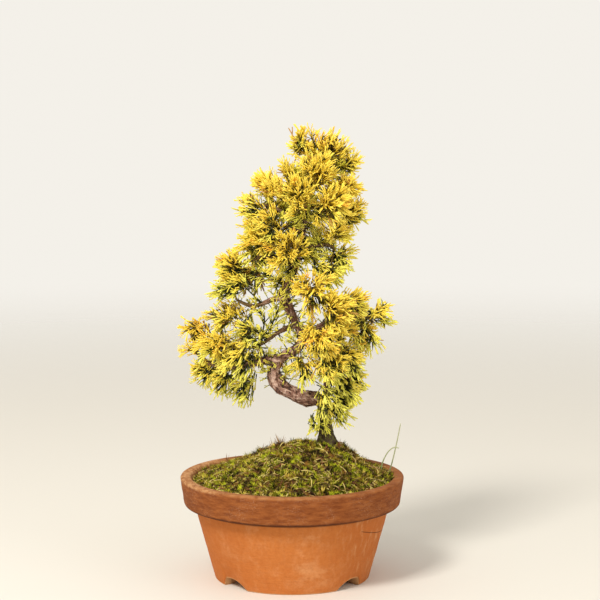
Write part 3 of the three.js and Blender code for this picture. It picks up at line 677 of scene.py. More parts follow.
def smooth_path(stations: Stations, steps: int) -> np.ndarray:
    """Points and radii on a smooth line through stations, with a few steps between each two.

    Args:
        stations: x, y, z and radius of each station.
        steps: the steps from one station to the next.

    Returns:
        Rows of x, y, z and radius.
    """
    given = np.array(stations, float)
    ends = np.vstack([2 * given[0] - given[1], given, 2 * given[-1] - given[-2]])
    rows = []
    for a, b, c, d in zip(ends, ends[1:], ends[2:], ends[3:]):
        for t in np.arange(steps) / steps:
            rows.append(0.5 * (2 * b + (c - a) * t + (2 * a - 5 * b + 4 * c - d) * t**2
                               + (3 * b - a - 3 * c + d) * t**3))
    return np.vstack([rows, given[-1]])


def lathe(profile: np.ndarray, angles: np.ndarray) -> tuple[np.ndarray, Faces]:
    """A closed profile of radius and height turned about the pot's axis.

    Args:
        profile: rows of radius and height, in order round a closed outline.
        angles: the angles of the meridians, from +X.

    Returns:
        The points and the faces.
    """
    turned = [np.column_stack([profile[:, 0] * math.cos(a), profile[:, 0] * math.sin(a), profile[:, 1]])
              for a in angles]
    rows, columns = len(profile), len(angles)
    faces: Faces = []
    for column in range(columns):
        here, there = column * rows, (column + 1) % columns * rows
        for row in range(rows):
            after = (row + 1) % rows
            faces.append((here + row, there + row, there + after, here + after))
    return np.vstack(turned), faces


def rounded(outline: Sequence[tuple[float, float, float]], steps: int = 4) -> np.ndarray:
    """A closed outline with its corners rounded.

    Args:
        outline: radius, height and corner size of each corner.
        steps: the points on each rounded corner, less one.

    Returns:
        Rows of radius and height.
    """
    corners = np.array([corner[:2] for corner in outline])
    rows = []
    for index, (_, _, size) in enumerate(outline):
        corner, before, after = corners[index], corners[index - 1], corners[(index + 1) % len(corners)]
        if size == 0:
            rows.append(corner)
            continue
        start, end = corner + size * unit(before - corner), corner + size * unit(after - corner)
        for t in np.arange(steps + 1) / steps:
            rows.append((1 - t) ** 2 * start + 2 * t * (1 - t) * corner + t**2 * end)
    return np.array(rows)


def divided(outline: np.ndarray, longest: float) -> np.ndarray:
    """A closed outline with points added where two are further apart than the longest step.

    Args:
        outline: rows of radius and height.
        longest: the longest step.

    Returns:
        The rows, with the new ones between them.
    """
    rows = []
    for here, there in zip(outline, np.roll(outline, -1, axis=0)):
        count = max(1, math.ceil(np.linalg.norm(there - here) / longest))
        rows += [here + (there - here) * step / count for step in range(count)]
    return np.array(rows)


def points_of(mesh: Mesh) -> np.ndarray:
    """A mesh's points, in millimetres."""
    flat = np.empty(len(mesh.vertices) * 3, np.float32)
    mesh.vertices.foreach_get("co", flat)
    return flat.reshape(-1, 3).astype(float) / MM


def joined_copy(node: Thing) -> Mesh:
    """A copy of a node's mesh with its loose triangles joined, and the node's finish left off.

    Args:
        node: the node.

    Returns:
        The mesh.
    """
    work = bmesh.new()
    work.from_mesh(node.data)
    bmesh.ops.remove_doubles(work, verts=work.verts, dist=2e-6)
    mesh = bpy.data.meshes.new(node.name + "_form")
    work.to_mesh(mesh)
    work.free()
    return mesh


def show(mesh: Mesh, name: str, slot: str, *nodes: str) -> Thing:
    """Puts a finished mesh in the scene as a piece.

    Args:
        mesh: the mesh, in place.
        name: the piece's name.
        slot: a material slot's name; not used.
        nodes: the nodes that the piece stands for.

    Returns:
        The piece.
    """
    piece = new_object(name, mesh)
    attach(piece, BODY)
    if nodes:
        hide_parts(*nodes)
    LOG.info("%s: %d faces", name, len(mesh.polygons))
    return piece


# Finishes

# Painted shade in hollows: where the moss and all that lies on it darkens
PAINTED_HOLLOW_SHADE = Pattern(0.51, 0.41, 0.19, 3.0, 0.6)
# The bark's strips, in colour and relief alike: a noise's scale, detail, roughness and twist
BARK_STRIPS = (1.0, 5.0, 0.65, 1.2)


class Finish(Graph):
    """A material under construction: its shader, and the surface's place in millimetres."""

    def __init__(self, name: str, roughness: float, specular: float) -> None:
        """Starts a finish.

        Args:
            name: the finish's name.
            roughness: how matt it is.
            specular: how much it shines.
        """
        self.material = bpy.data.materials.new(name)
        self.material.use_nodes = True
        super().__init__(self.material.node_tree)
        self.shader = self.tree.nodes["Principled BSDF"]
        self.shader.inputs["Roughness"].default_value = roughness
        self.shader.inputs["Specular IOR Level"].default_value = specular
        self.place = self.vector("SCALE", self.out("ShaderNodeTexCoord", "Object"), 1 / MM)
        self.across, self.back, self.height = self.add("ShaderNodeSeparateXYZ", {0: self.place}).outputs

    def shows(self, pattern: Pattern, stretch: Triple | None = None) -> Socket:
        """How far a pattern shows, from 0 to 1, with its noise stretched where that is asked."""
        place = self.vector("MULTIPLY", self.place, stretch) if stretch else self.place
        here = self.noise(place, pattern.scale, pattern.detail, pattern.rough, pattern.twist)
        return self.spread(here, pattern.low, pattern.high)

    def value(self, name: str, output: str = "Fac") -> Socket:
        """A value stored at the piece's vertices."""
        return self.out("ShaderNodeAttribute", output, attribute_name=name)

    def bump(self, height: Socket, depth_mm: float) -> None:
        """Gives the shader a fine relief."""
        self.feed(self.shader.inputs["Normal"], self.out("ShaderNodeBump", 0, {
            "Strength": 1.0, "Distance": depth_mm * MM, "Height": height}))

    def painted(self, colour: Socket) -> Material:
        """Paints the shader, and gives the finished material."""
        self.feed(self.shader.inputs["Base Color"], colour)
        return self.material


@dataclass(frozen=True)
class TerracottaFinish:
    """Unglazed earthenware: orange body, redder band with salts, the lip worn pale, painted highlights on the
    lip's left and the foot's arches, and painted shade on the sides, under the band and inside the wall.
    """

    body: Colour = (0.565, 0.186, 0.045)
    body_pale: Colour = (0.67, 0.300, 0.118)
    # Deep body colour, for the random mottle and for the painted shade at the sides
    body_deep_and_side_shade: Colour = (0.42, 0.112, 0.023)
    band: Colour = (0.170, 0.042, 0.011)
    band_pale: Colour = (0.365, 0.118, 0.030)
    salt: Colour = (0.58, 0.38, 0.24)
    lip: Colour = (0.44, 0.200, 0.075)
    # Painted shade inside the wall
    inner: Colour = (0.31, 0.115, 0.036)
    # Dark for the scratch, and for the dirt and painted shadow under the band
    seam_shadow_and_scratch: Colour = (0.065, 0.020, 0.009)
    # Pale for the runs and the chips, and for the painted highlight on the lip's left edge and the foot's
    # arches
    edge: Colour = (0.70, 0.40, 0.185)
    patches: Pattern = Pattern(0.46, 0.76, 0.045, 5.0, 0.66, 0.2)
    mottle: Pattern = Pattern(0.32, 0.72, 0.32, 6.0, 0.7)
    runs: Pattern = Pattern(0.48, 0.86, 1.0, 4.0, 0.6)
    strokes: Pattern = Pattern(0.30, 0.76, 1.0, 7.0, 0.76, 0.2)
    salt_grains: Pattern = Pattern(0.52, 0.68, 1.5, 5.0, 0.8)
    salt_areas: Pattern = Pattern(0.34, 0.66, 0.07, 3.0, 0.6)
    wear: Pattern = Pattern(0.36, 0.62, 0.14, 5.0, 0.7)
    chips_and_glints: Pattern = Pattern(0.40, 0.58, 0.35, 5.0, 0.7)
    drawn_down: Triple = (0.30, 0.30, 0.045)
    brushed_round: Triple = (0.09, 0.09, 0.42)
    thrown_round: Triple = (0.10, 0.10, 0.9)
    scratch_level: float = 64.0
    scratch_slope: float = 0.44
    scratch_start: float = 47.5

    def body_colour(self, graph: Finish) -> Socket:
        """The body's patches, mottle and runs, with painted shade that deepens it where the wall turns away.

        Args:
            graph: the finish under construction.

        Returns:
            The colour.
        """
        colour = graph.blend(graph.shows(self.patches), self.body, self.body_pale)
        colour = graph.lay(colour, self.body_deep_and_side_shade, graph.shows(self.mottle), 0.45)
        # Painted shade: the body deepens towards both sides, more on the right.
        painted_side_shade = graph.plus(graph.spread(graph.across, 16.0, 52.0, 0.0, 0.55),
                                 graph.spread(graph.across, -12.0, -46.0, 0.0, 0.34))
        colour = graph.blend(painted_side_shade, colour, self.body_deep_and_side_shade)
        runs = graph.shows(self.runs, self.drawn_down)
        return graph.lay(colour, self.edge, runs, graph.spread(graph.across, 22.0, 46.0, 0.12, 0.62))

    def band_colour(self, graph: Finish) -> Socket:
        """The band's brush marks and the salts on it.

        Args:
            graph: the finish under construction.

        Returns:
            The colour.
        """
        strokes = graph.shows(self.strokes, self.brushed_round)
        colour = graph.blend(strokes, self.band, self.band_pale)
        salts = graph.times(graph.shows(self.salt_grains), graph.shows(self.salt_areas))
        return graph.lay(colour, self.salt, salts, 0.6)

    def seam_shadow_mask(self, graph: Finish, level: Socket) -> Socket:
        """The dark line where the band meets the body: dirt and a painted shadow under the band."""
        return graph.times(graph.spread(graph.height, BAND_BASE - 2.8, BAND_BASE - 1.3),
                           graph.spread(level, BAND_BASE + 2.2, BAND_BASE + 0.3))

    def inner_wall_shade_mask(self, graph: Finish) -> Socket:
        """Painted shade on the inside of the wall, over the moss."""
        radius = graph.vector("LENGTH", graph.vector("MULTIPLY", graph.place, (1.0, 1.0, 0.0)))
        return graph.times(graph.spread(radius, 74.6, 73.0),
                           graph.spread(graph.height, BAND_BASE + 3.0, BAND_BASE + 6.0))

    def lip_wear_and_light_mask(self, graph: Finish, level: Socket) -> Socket:
        """The lip's patchy wear, with painted light that makes it stronger towards its left."""
        worn = graph.plus(0.25, graph.shows(self.wear))
        return graph.times(graph.spread(level, 71.2, 73.3),
                           graph.times(worn, graph.spread(graph.across, 62.0, -30.0, 0.45, 1.0)))

    def chip_and_highlight_mask(self, graph: Finish) -> Socket:
        """Small pale chipped spots in the left of the lip, also a painted highlight on its edge there."""
        left = graph.times(graph.spread(graph.across, -38.0, -66.0), graph.spread(graph.height, 70.4, 72.6))
        return graph.times(graph.shows(self.chips_and_glints), left)

    def scratch_mask(self, graph: Finish) -> Socket:
        """The slanting scratch under the band, at the front's right.

        Args:
            graph: the finish under construction.

        Returns:
            The mask.
        """
        line = graph.minus(self.scratch_level, graph.times(graph.across, self.scratch_slope))
        off = graph.math("ABSOLUTE", graph.minus(graph.height, line))
        stretch = graph.times(graph.spread(graph.across, self.scratch_start, self.scratch_start + 2.0),
                              graph.spread(graph.back, 0.0, -2.0))
        return graph.times(graph.spread(off, 0.42, 0.2), stretch)

    def build(self) -> Material:
        """Makes the finish.

        Returns:
            The finished material.
        """
        graph = Finish("terracotta", 0.86, 0.12)
        level = graph.plus(graph.height, graph.times(graph.swing(graph.place, 0.11), 2.2))
        colour = graph.blend(graph.spread(graph.height, BAND_BASE - 0.3, BAND_BASE + 0.2),
                             self.body_colour(graph), self.band_colour(graph))
        for over, mask, strength in (
            (self.seam_shadow_and_scratch, self.seam_shadow_mask(graph, level), 0.9),
            (self.inner, self.inner_wall_shade_mask(graph), 0.8),
            (self.lip, self.lip_wear_and_light_mask(graph, level), 0.62),
            (self.edge, self.chip_and_highlight_mask(graph), 0.55),
            # Painted highlight on the cut faces of the foot's arches
            (self.edge, graph.spread(graph.value("arch"), 1.4, 0.2), 0.8),
            (self.seam_shadow_and_scratch, self.scratch_mask(graph), 0.8),
        ):
            colour = graph.lay(colour, over, mask, strength)
        throwing = graph.noise(graph.vector("MULTIPLY", graph.place, self.thrown_round), 1.0, 5.0, 0.6)
        grit = graph.noise(graph.place, 1.6, 4.0, 0.7)
        graph.bump(graph.plus(throwing, graph.times(grit, 0.6)), 0.35)
        return graph.painted(colour)


@dataclass(frozen=True)
class BarkFinish:
    """Old juniper bark: red-brown strips, grey-pink ridges, dark cracks, and green young twigs."""

    crack: Colour = (0.018, 0.010, 0.008)
    strip: Colour = (0.235, 0.112, 0.075)
    ridge: Colour = (0.62, 0.435, 0.345)
    young: Colour = (0.19, 0.125, 0.040)
    foot: Colour = (0.040, 0.026, 0.012)
    mossy: Colour = (0.120, 0.125, 0.016)
    moss: Pattern = Pattern(0.47, 0.60, 0.42, 4.0, 0.75)
    damp_from: float = 121.0
    damp_below: float = 104.0

    def build(self) -> Material:
        """Makes the finish.

        Returns:
            The finished material.
        """
        graph = Finish("bark", 0.88, 0.25)
        run = graph.value("bark", "Vector")
        grain = graph.noise(run, 3.2, 4.0, 0.7)
        tone = graph.plus(graph.times(graph.noise(run, *BARK_STRIPS), 0.75), graph.times(grain, 0.25))
        colour = graph.ramp(tone, (0.39, self.crack), (0.49, self.strip), (0.61, self.ridge))
        colour = graph.blend(graph.spread(graph.value("girth"), 0.42, 0.18), colour, self.young)
        damp = graph.spread(graph.height, self.damp_from, self.damp_below)
        foot = graph.blend(graph.shows(self.moss), self.foot, self.mossy)
        graph.bump(tone, 0.5)
        return graph.painted(graph.lay(colour, foot, damp, 0.92))


@dataclass(frozen=True)
class FoliageFinish:
    """Scale leaves on cords: golden in the sun, yellow-green in the shade, with painted light from each
    cord's sun and painted shade at the cords' feet.
    """

    # The first stops, inside and brown, are painted shade at the cords' feet deep in a spray
    inside: Colour = (0.022, 0.024, 0.004)
    olive: Colour = (0.085, 0.100, 0.009)
    green: Colour = (0.31, 0.325, 0.020)
    lime: Colour = (0.68, 0.64, 0.056)
    pale_lime: Colour = (0.93, 0.87, 0.150)
    brown: Colour = (0.050, 0.032, 0.006)
    bronze: Colour = (0.34, 0.225, 0.012)
    ochre: Colour = (0.76, 0.51, 0.022)
    gold: Colour = (0.96, 0.660, 0.032)
    pale_gold: Colour = (0.99, 0.775, 0.095)
    orange: Colour = (0.78, 0.30, 0.018)
    dead: Colour = (0.40, 0.17, 0.045)
    stops: tuple[float, ...] = (0.12, 0.32, 0.53, 0.76, 1.0)
    warm: Pattern = Pattern(0.56, 0.66, 0.11, 3.0, 0.6, 0.5)

    def shaded(self, graph: Finish, glow: Socket) -> Socket:
        """The greens of a cord grown in the shade, from painted shade at its foot to its pale tip."""
        greens = (self.inside, self.olive, self.green, self.lime, self.pale_lime)
        return graph.ramp(glow, *zip(self.stops, greens))

    def sunlit(self, graph: Finish, glow: Socket) -> Socket:
        """The golds of a cord grown in the sun, from painted shade at its foot to its pale tip."""
        golds = (self.brown, self.bronze, self.ochre, self.gold, self.pale_gold)
        return graph.ramp(glow, *zip(self.stops, golds))

    def build(self) -> Material:
        """Makes the finish.

        Returns:
            The finished material.
        """
        graph = Finish("scale_leaves", 0.5, 0.35)
        tip, sun, tint, shade = (graph.value(name) for name in ("tip", "sun", "tint", "shade"))
        drift = graph.swing(graph.place, 0.075, 3.0)
        # Glow: painted shade at the cords' feet, painted light from the sun, and random tone from tint, shade
        # and drift
        glow = graph.plus(
            graph.spread(tip, 0.15, 0.60, -0.01, 0.84), graph.times(sun, 0.23),
            graph.times(graph.minus(tint, 0.5), 0.26), graph.times(shade, 0.10), graph.times(drift, 0.25))
        gilt = graph.plus(sun, graph.times(drift, 1.1), graph.times(graph.minus(tip, 0.7), 0.22))
        colour = graph.blend(graph.spread(gilt, 0.48, 0.92),
                             self.shaded(graph, glow), self.sunlit(graph, glow))
        lit = graph.times(graph.spread(glow, 0.45, 0.75), graph.spread(sun, 0.6, 0.9))
        colour = graph.lay(colour, self.orange, graph.times(graph.shows(self.warm), lit), 0.6)
        return graph.painted(graph.lay(colour, self.dead, graph.spread(tint, 0.962, 0.97), 0.85))


@dataclass(frozen=True)
class MossFinish:
    """Short moss: yellow-green cushions, painted shade in its hollows, and brown litter between them."""

    hollow_shade: Colour = (0.024, 0.016, 0.007)
    brown: Colour = (0.28, 0.124, 0.028)
    deep: Colour = (0.100, 0.118, 0.008)
    green: Colour = (0.32, 0.37, 0.016)
    bright: Colour = (0.67, 0.69, 0.035)
    straw: Colour = (0.86, 0.66, 0.13)
    dead_areas: Pattern = Pattern(0.44, 0.54, 0.12, 4.0, 0.7)

    def build(self) -> Material:
        """Makes the finish.

        Returns:
            The finished material.
        """
        graph = Finish("moss", 0.9, 0.0)
        tip, tint = graph.value("tip"), graph.value("tint")
        cushions = graph.noise(graph.place, 0.11, 4.0, 0.62, 0.8)
        tone = graph.plus(graph.times(tip, 0.42), graph.times(cushions, 0.62),
                          graph.times(graph.minus(tint, 0.5), 0.46))
        # The darkest stop, where the tone is lowest, is painted shade
        colour = graph.ramp(tone, (0.34, self.hollow_shade), (0.44, self.deep), (0.54, self.green),
                            (0.70, self.bright))
        dead = graph.times(graph.shows(self.dead_areas), graph.spread(tint, 0.2, 0.6))
        colour = graph.lay(colour, self.brown, dead, 0.8)
        # Painted shade in the hollows
        colour = graph.lay(colour, self.hollow_shade, graph.shows(PAINTED_HOLLOW_SHADE), 0.92)
        return graph.painted(graph.lay(colour, self.straw, graph.spread(tint, 0.90, 0.94), 0.85))


@dataclass(frozen=True)
class LitterFinish:
    """Dry needles, stems and bark crumbs, from straw to dark brown."""

    pale: Colour = (0.82, 0.66, 0.22)
    straw: Colour = (0.44, 0.28, 0.105)
    red: Colour = (0.27, 0.095, 0.040)
    dark: Colour = (0.060, 0.033, 0.018)

    def build(self) -> Material:
        """Makes the finish.

        Returns:
            The finished material.
        """
        graph = Finish("litter", 0.9, 0.05)
        tone = graph.plus(graph.value("tint"), graph.times(graph.swing(graph.place, 0.9, 3.0), 0.5))
        colour = graph.ramp(tone, (0.10, self.dark), (0.34, self.red), (0.58, self.straw), (0.86, self.pale))
        # Painted shade: the litter darkens in the hollows, more towards its feet
        litter_hollow_shade = graph.times(graph.shows(PAINTED_HOLLOW_SHADE), graph.spread(graph.value("tip"), 0.9, 0.55))
        return graph.painted(graph.lay(colour, self.dark, litter_hollow_shade, 0.75))


@dataclass(frozen=True)
class SoilFinish:
    """Damp potting grit."""

    dark: Colour = (0.035, 0.021, 0.012)
    light: Colour = (0.21, 0.125, 0.065)

    def build(self) -> Material:
        """Makes the finish.

        Returns:
            The finished material.
        """
        graph = Finish("grit", 0.95, 0.2)
        grains = graph.out("ShaderNodeTexVoronoi", "Distance", {"Vector": graph.place, "Scale": 0.5})
        shade = graph.plus(grains, graph.times(graph.noise(graph.place, 0.2), 0.5))
        graph.bump(grains, 0.8)
        return graph.painted(graph.blend(graph.spread(shade, 0.2, 1.0), self.light, self.dark))


@dataclass(frozen=True)
class ScreenFinish:
    """Moulded mesh, scuffed grey along its threads."""

    black: Colour = (0.016, 0.016, 0.016)
    scuffed: Colour = (0.060, 0.058, 0.054)

    def build(self) -> Material:
        """Makes the finish.

        Returns:
            The finished material.
        """
        graph = Finish("moulded_mesh", 0.55, 0.4)
        scuffs = graph.noise(graph.place, 0.6, 5.0, 0.7)
        graph.bump(scuffs, 0.1)
        return graph.painted(graph.blend(graph.spread(scuffs, 0.4, 0.7), self.black, self.scuffed))


@dataclass(frozen=True)
class GrassFinish:
    """A thin grass stalk, green below and straw at its tip."""

    green: Colour = (0.20, 0.26, 0.09)
    straw: Colour = (0.42, 0.43, 0.24)

    def build(self) -> Material:
        """Makes the finish."""
        graph = Finish("grass", 0.6, 0.3)
        tone = graph.plus(graph.value("tip"), graph.times(graph.swing(graph.place, 0.4), 0.8))
        return graph.painted(graph.blend(graph.spread(tone, 0.1, 0.9), self.green, self.straw))


# Pot


def curve_time(run: float, bend: float, travelled: float) -> float:
    """When a point that goes run * t + bend * t**2 has travelled so far."""
    return (math.sqrt(max(0.0, run * run + 4 * bend * travelled)) - run) / (2 * bend)


@dataclass
class Pot:
    """The thrown pot: its turned wall, and the foot with four cut arches."""

    meridians: int = 288
    longest_step: float = 2.4
    drain_radius: float = 9.0
    arch_bearing: float = 46.0
    arch_half_width: float = 11.1
    arch_crown: float = 6.4
    arch_crown_at: float = 0.4
    arch_gentle_run: tuple[float, float] = (1.3, 0.1)
    arch_steep_run: tuple[float, float] = (1.1, -0.5)
    arch_steep_side: float = 4.6
    foot_inner: float = 46.0
    foot_outer: float = 55.2
    neck: float = 69.8
    band_foot: float = 77.0
    lip_outer: float = 80.0
    recess: float = 7.5
    inner_cut_reach: float = 1.0
    outer_cut_reach: float = 1.5
    outer_fade: float = 17.0
    no_cut: float = 99.0
    wobble: float = 0.22
    wobble_round: float = 1.3
    wobble_up: float = 0.22

    def outline(self) -> np.ndarray:
        """The wall's section: radius and height, round from the drain hole's edge.

        Returns:
            Rows of radius and height.
        """
        return divided(rounded((
            (self.drain_radius, self.recess, 0.8), (self.foot_inner, self.recess, 1.2),
            (self.foot_inner, 0.0, 0.8), (self.foot_outer, 0.0, 1.0), (self.neck, BAND_BASE - 0.3, 0.7),
            (self.band_foot, BAND_BASE, 2.2), (self.lip_outer, POT_HEIGHT, 2.1), (LIP_INNER, POT_HEIGHT, 2.3),
            (FLOOR_RADIUS, FLOOR_TOP, 2.0), (self.drain_radius, FLOOR_TOP, 0.8),
        )), self.longest_step)

    def arch_height(self, angle: float, radius: float) -> float:
        """How far the foot is cut up at a meridian.

        Args:
            angle: the meridian's angle from +X.
            radius: the distance from the pot's axis.

        Returns:
            The height of the cut, zero between the arches.
        """
        bearing = math.degrees(angle) + 90.0
        for middle, steep in ((self.arch_bearing, 1), (-self.arch_bearing, -1),
                              (180 - self.arch_bearing, -1), (180 + self.arch_bearing, 1)):
            turn = (bearing - middle + 180.0) % 360.0 - 180.0
            share = steep * radius * math.sin(math.radians(turn)) / self.arch_half_width
            if abs(turn) > 45.0 or abs(share) > 1.0:
                continue
            if share < self.arch_crown_at:
                t = curve_time(*self.arch_gentle_run, share + 1.0)
                return self.arch_crown * (2 * t - t * t)
            t = curve_time(*self.arch_steep_run, share - self.arch_crown_at)
            return self.arch_crown * (1 - t * t) + self.arch_steep_side * t * t
        return 0.0

    def shape(self, points: np.ndarray) -> np.ndarray:
        """Cuts the arches and throws the wall slightly out of true.

        Args:
            points: the wall's points, which are moved.

        Returns:
            Each point's height over the cut.
        """
        above = np.full(len(points), self.no_cut)
        for row, point in enumerate(points):
            radius, angle = math.hypot(point[0], point[1]), math.atan2(point[1], point[0])
            if radius > self.foot_inner - self.outer_cut_reach and point[2] < self.outer_fade:
                within = radius < self.foot_inner + self.inner_cut_reach
                fade = self.recess if within else self.outer_fade
                cut = self.arch_height(angle, radius)
                if point[2] < fade:
                    point[2] = cut + point[2] * (fade - cut) / fade
                if cut > 0.0 or point[2] < 1.0:
                    above[row] = max(0.0, point[2] - cut)
            if FLOOR_TOP + 0.5 < point[2] < POT_HEIGHT - 0.5:
                lean = noise.noise(Vector((
                    math.cos(angle) * self.wobble_round, math.sin(angle) * self.wobble_round,
                    point[2] * self.wobble_up)))
                point[:2] *= 1.0 + self.wobble * lean / radius
        return above

    def build(self, finish: Material) -> Thing:
        """Makes the pot.

        Args:
            finish: the terracotta.

        Returns:
            The piece.
        """
        points, faces = lathe(self.outline(), ring_angles(self.meridians))
        shell = Shell.of(points, faces, arch=self.shape(points).tolist())
        return show(shell.mesh("turned_pot", finish), "turned_pot", "terracotta", "pot")


# Ground


def wall_radius(height: float) -> float:
    """The radius inside the pot's wall at a height."""
    return FLOOR_RADIUS + (LIP_INNER - FLOOR_RADIUS) * (height - FLOOR_TOP) / WALL_RISE


def soil_height(x: float, y: float) -> float:
    """The height of the soil's mound at a place.

    Args:
        x: how far right of the pot's axis.
        y: how far behind it.

    Returns:
        The height.
    """
    wall = wall_radius(SOIL_EDGE)
    mound_x, mound_y = MOUND_CENTRE
    dx, dy = x - mound_x, y - mound_y
    distance = max(math.hypot(dx, dy), 1e-6)
    along = (mound_x * dx + mound_y * dy) / distance
    to_wall = -along + math.sqrt(along**2 + wall**2 - mound_x**2 - mound_y**2)
    share = min(distance / to_wall, 1.0)
    return SOIL_EDGE + MOUND_RISE * (0.5 + 0.5 * math.cos(math.pi * share)) ** 0.7


def moss_height(x: float, y: float) -> float:
    """The height of the moss at a place, with its cushions and hummocks."""
    cushions = math.sin(x / 3.3 + 1.1 * math.sin(y / 5.1)) * math.cos(y / 2.9 + 0.8 * math.sin(x / 6.2))
    hummocks = math.sin(x / 7.4 + y / 9.3 + 0.7) * math.cos(y / 8.1 - x / 11.7)
    return soil_height(x, y) + MOSS_DEPTH + MOSS_SWELL * (0.62 * cushions + 0.38 * hummocks)


class SmallShape(Protocol):
    """A small shape that a growth tree can stand on a surface."""

    def build(self, name: str) -> Thing:
        """Makes the shape about the origin."""


@dataclass
class Tuft:
    """A short plant of pointed leaves that stand out from one foot."""

    leaves: int
    length: float
    radius: float
    lean: tuple[float, float]
    seed: int
    turn_step: float = 1.62
    rise: float = 0.14

    def add_to(self, shell: Shell, foot: Sequence[float], **values: float) -> None:
        """Adds the tuft to a shell, growing along +Z.

        Args:
            shell: what the tuft is added to.
            foot: where it stands.
            values: further values for all its leaves.
        """
        draw = np.random.default_rng(self.seed)
        for leaf in range(self.leaves):
            angle = (leaf + draw.uniform(-0.3, 0.3)) * TURN / self.leaves * self.turn_step
            out = direction(draw.uniform(*self.lean), angle)
            length = self.length * draw.uniform(0.7, 1.15)
            path = np.array([[0, 0, -0.4], out * length + [0, 0, self.rise * length]]) + foot
            shell.add(*tube(path, np.array([self.radius, 0.0]), 3), tip=[0.0, 0.0, 0.0, 1.0], **values)

    def build(self, name: str) -> Thing:
        """Makes the tuft about the origin."""
        shell = Shell()
        self.add_to(shell, (0.0, 0.0, 0.0))
        return shell.shape(name)


@dataclass
class DryStem:
    """A dry needle or stem that lies bent on the moss."""

    length: float
    radius: float
    bow: float
    seed: int

    def build(self, name: str) -> Thing:
        """Makes the stem about the origin, lying along X.

        Args:
            name: the shape's name.

        Returns:
            The shape.
        """
        side = np.random.default_rng(self.seed).uniform(-0.3, 0.3)
        t = np.linspace(-0.5, 0.5, 5)
        path = np.column_stack([t * self.length, self.length * side * t**2,
                                self.bow * (1 - 4 * t**2) + 0.1 * np.sin(9 * t)])
        radii = self.radius * np.array([0.6, 0.95, 1.0, 0.8, 0.0])
        return Shell.of(*tube(path, radii, 3), tip=0.5).shape(name)


@dataclass
class Crumb:
    """A crumb of bark or grit."""

    length: float
    width: float
    height: float
    seed: int

    def build(self, name: str) -> Thing:
        """Makes the crumb about the origin.

        Args:
            name: the shape's name.

        Returns:
            The shape.
        """
        draw = np.random.default_rng(self.seed)
        path = np.array([[-0.5, 0, 0], [-0.3, 0, 0.1], [0.1, 0.05, 0.12], [0.5, 0, 0]]) * self.length
        sizes = np.array([0.2, 0.55, 0.5, 0.25])[:, None] * draw.uniform(0.7, 1.2, (4, 5)) * self.width
        points, faces = tube(path, sizes, 5)
        points[:, 2] *= self.height
        return Shell.of(points, faces, tip=0.5).shape(name)


def variants(name: str, makers: Iterable[SmallShape]) -> bpy.types.Collection:
    """A collection of small shapes that a growth tree picks from.

    Args:
        name: the collection's name.
        makers: what makes each shape.

    Returns:
        The collection.
    """
    collection = bpy.data.collections.new(name)
    for index, maker in enumerate(makers):
        collection.objects.link(maker.build(f"{name}_{index}"))
    return collection


def scatter_tree() -> GrowthTree:
    """A tree that stands small shapes on a surface, each turned by chance about the surface's normal.

    Returns:
        The tree.
    """
    tree = GrowthTree("scatter", {
        "Shapes": "Collection", "Kinds": "Int", "Density": "Float", "Smallest": "Float",
        "Largest": "Float", "Tilt": "Float", "Along": "Float", "Rise": "Float", "Steepest": "Float",
        "Lowest": "Float", "Sun": "Float", "Barest": "Float", "Seed": "Int", "Keep ground": "Bool",
        "Finish": "Material",
    })
    graph, given = tree.graph, tree.given
    seed = given["Seed"]
    place = graph.out("GeometryNodeInputPosition", 0)
    place_mm = graph.vector("SCALE", place, 1 / MM)
    ground = graph.store(given["Geometry"], "tint", graph.noise(place_mm, 0.35))

    up = graph.height_of(graph.out("GeometryNodeInputNormal", 0))
    chosen = graph.times(graph.math("GREATER_THAN", up, given["Steepest"]),
                         graph.math("GREATER_THAN", graph.height_of(place), given["Lowest"]))
    shifted = graph.vector("ADD", place_mm, graph.vector("SCALE", (3.1, 1.7, 2.3), seed))
    patches = graph.spread(graph.noise(shifted, 0.14, 2.0), 0.38, 0.62, given["Barest"],
                           graph.minus(2.0, given["Barest"]))
    planted = graph.add("GeometryNodeDistributePointsOnFaces", {
        "Mesh": ground, "Selection": chosen, "Density": graph.times(given["Density"], patches),
        "Seed": seed})

    tilt = graph.vector("SCALE", graph.astray(1.0, graph.seeded(seed, 1)), given["Tilt"])
    along = graph.vector("SCALE", graph.reading("run", VECTOR), given["Along"])
    aim = graph.vector("ADD", graph.vector("ADD", planted.outputs["Normal"], tilt), along)
    points = graph.store(planted.outputs["Points"], "tint",
                         graph.random(0.0, 1.0, graph.seeded(seed, 2)))
    points = graph.moved(graph.store(points, "sun", given["Sun"]), graph.upright(given["Rise"]))
    grown = graph.stand(
        points, given["Shapes"], graph.rolled(aim, graph.seeded(seed, 3)),
        which=graph.random(0, graph.minus(given["Kinds"], 1.0), graph.seeded(seed, 4), "INT"),
        size=graph.random(given["Smallest"], given["Largest"], graph.seeded(seed, 5)))
    kept = graph.out("GeometryNodeSwitch", 0, {"Switch": given["Keep ground"], "True": ground},
                     input_type="GEOMETRY")
    tree.finish(graph.join(kept, grown))
    return tree


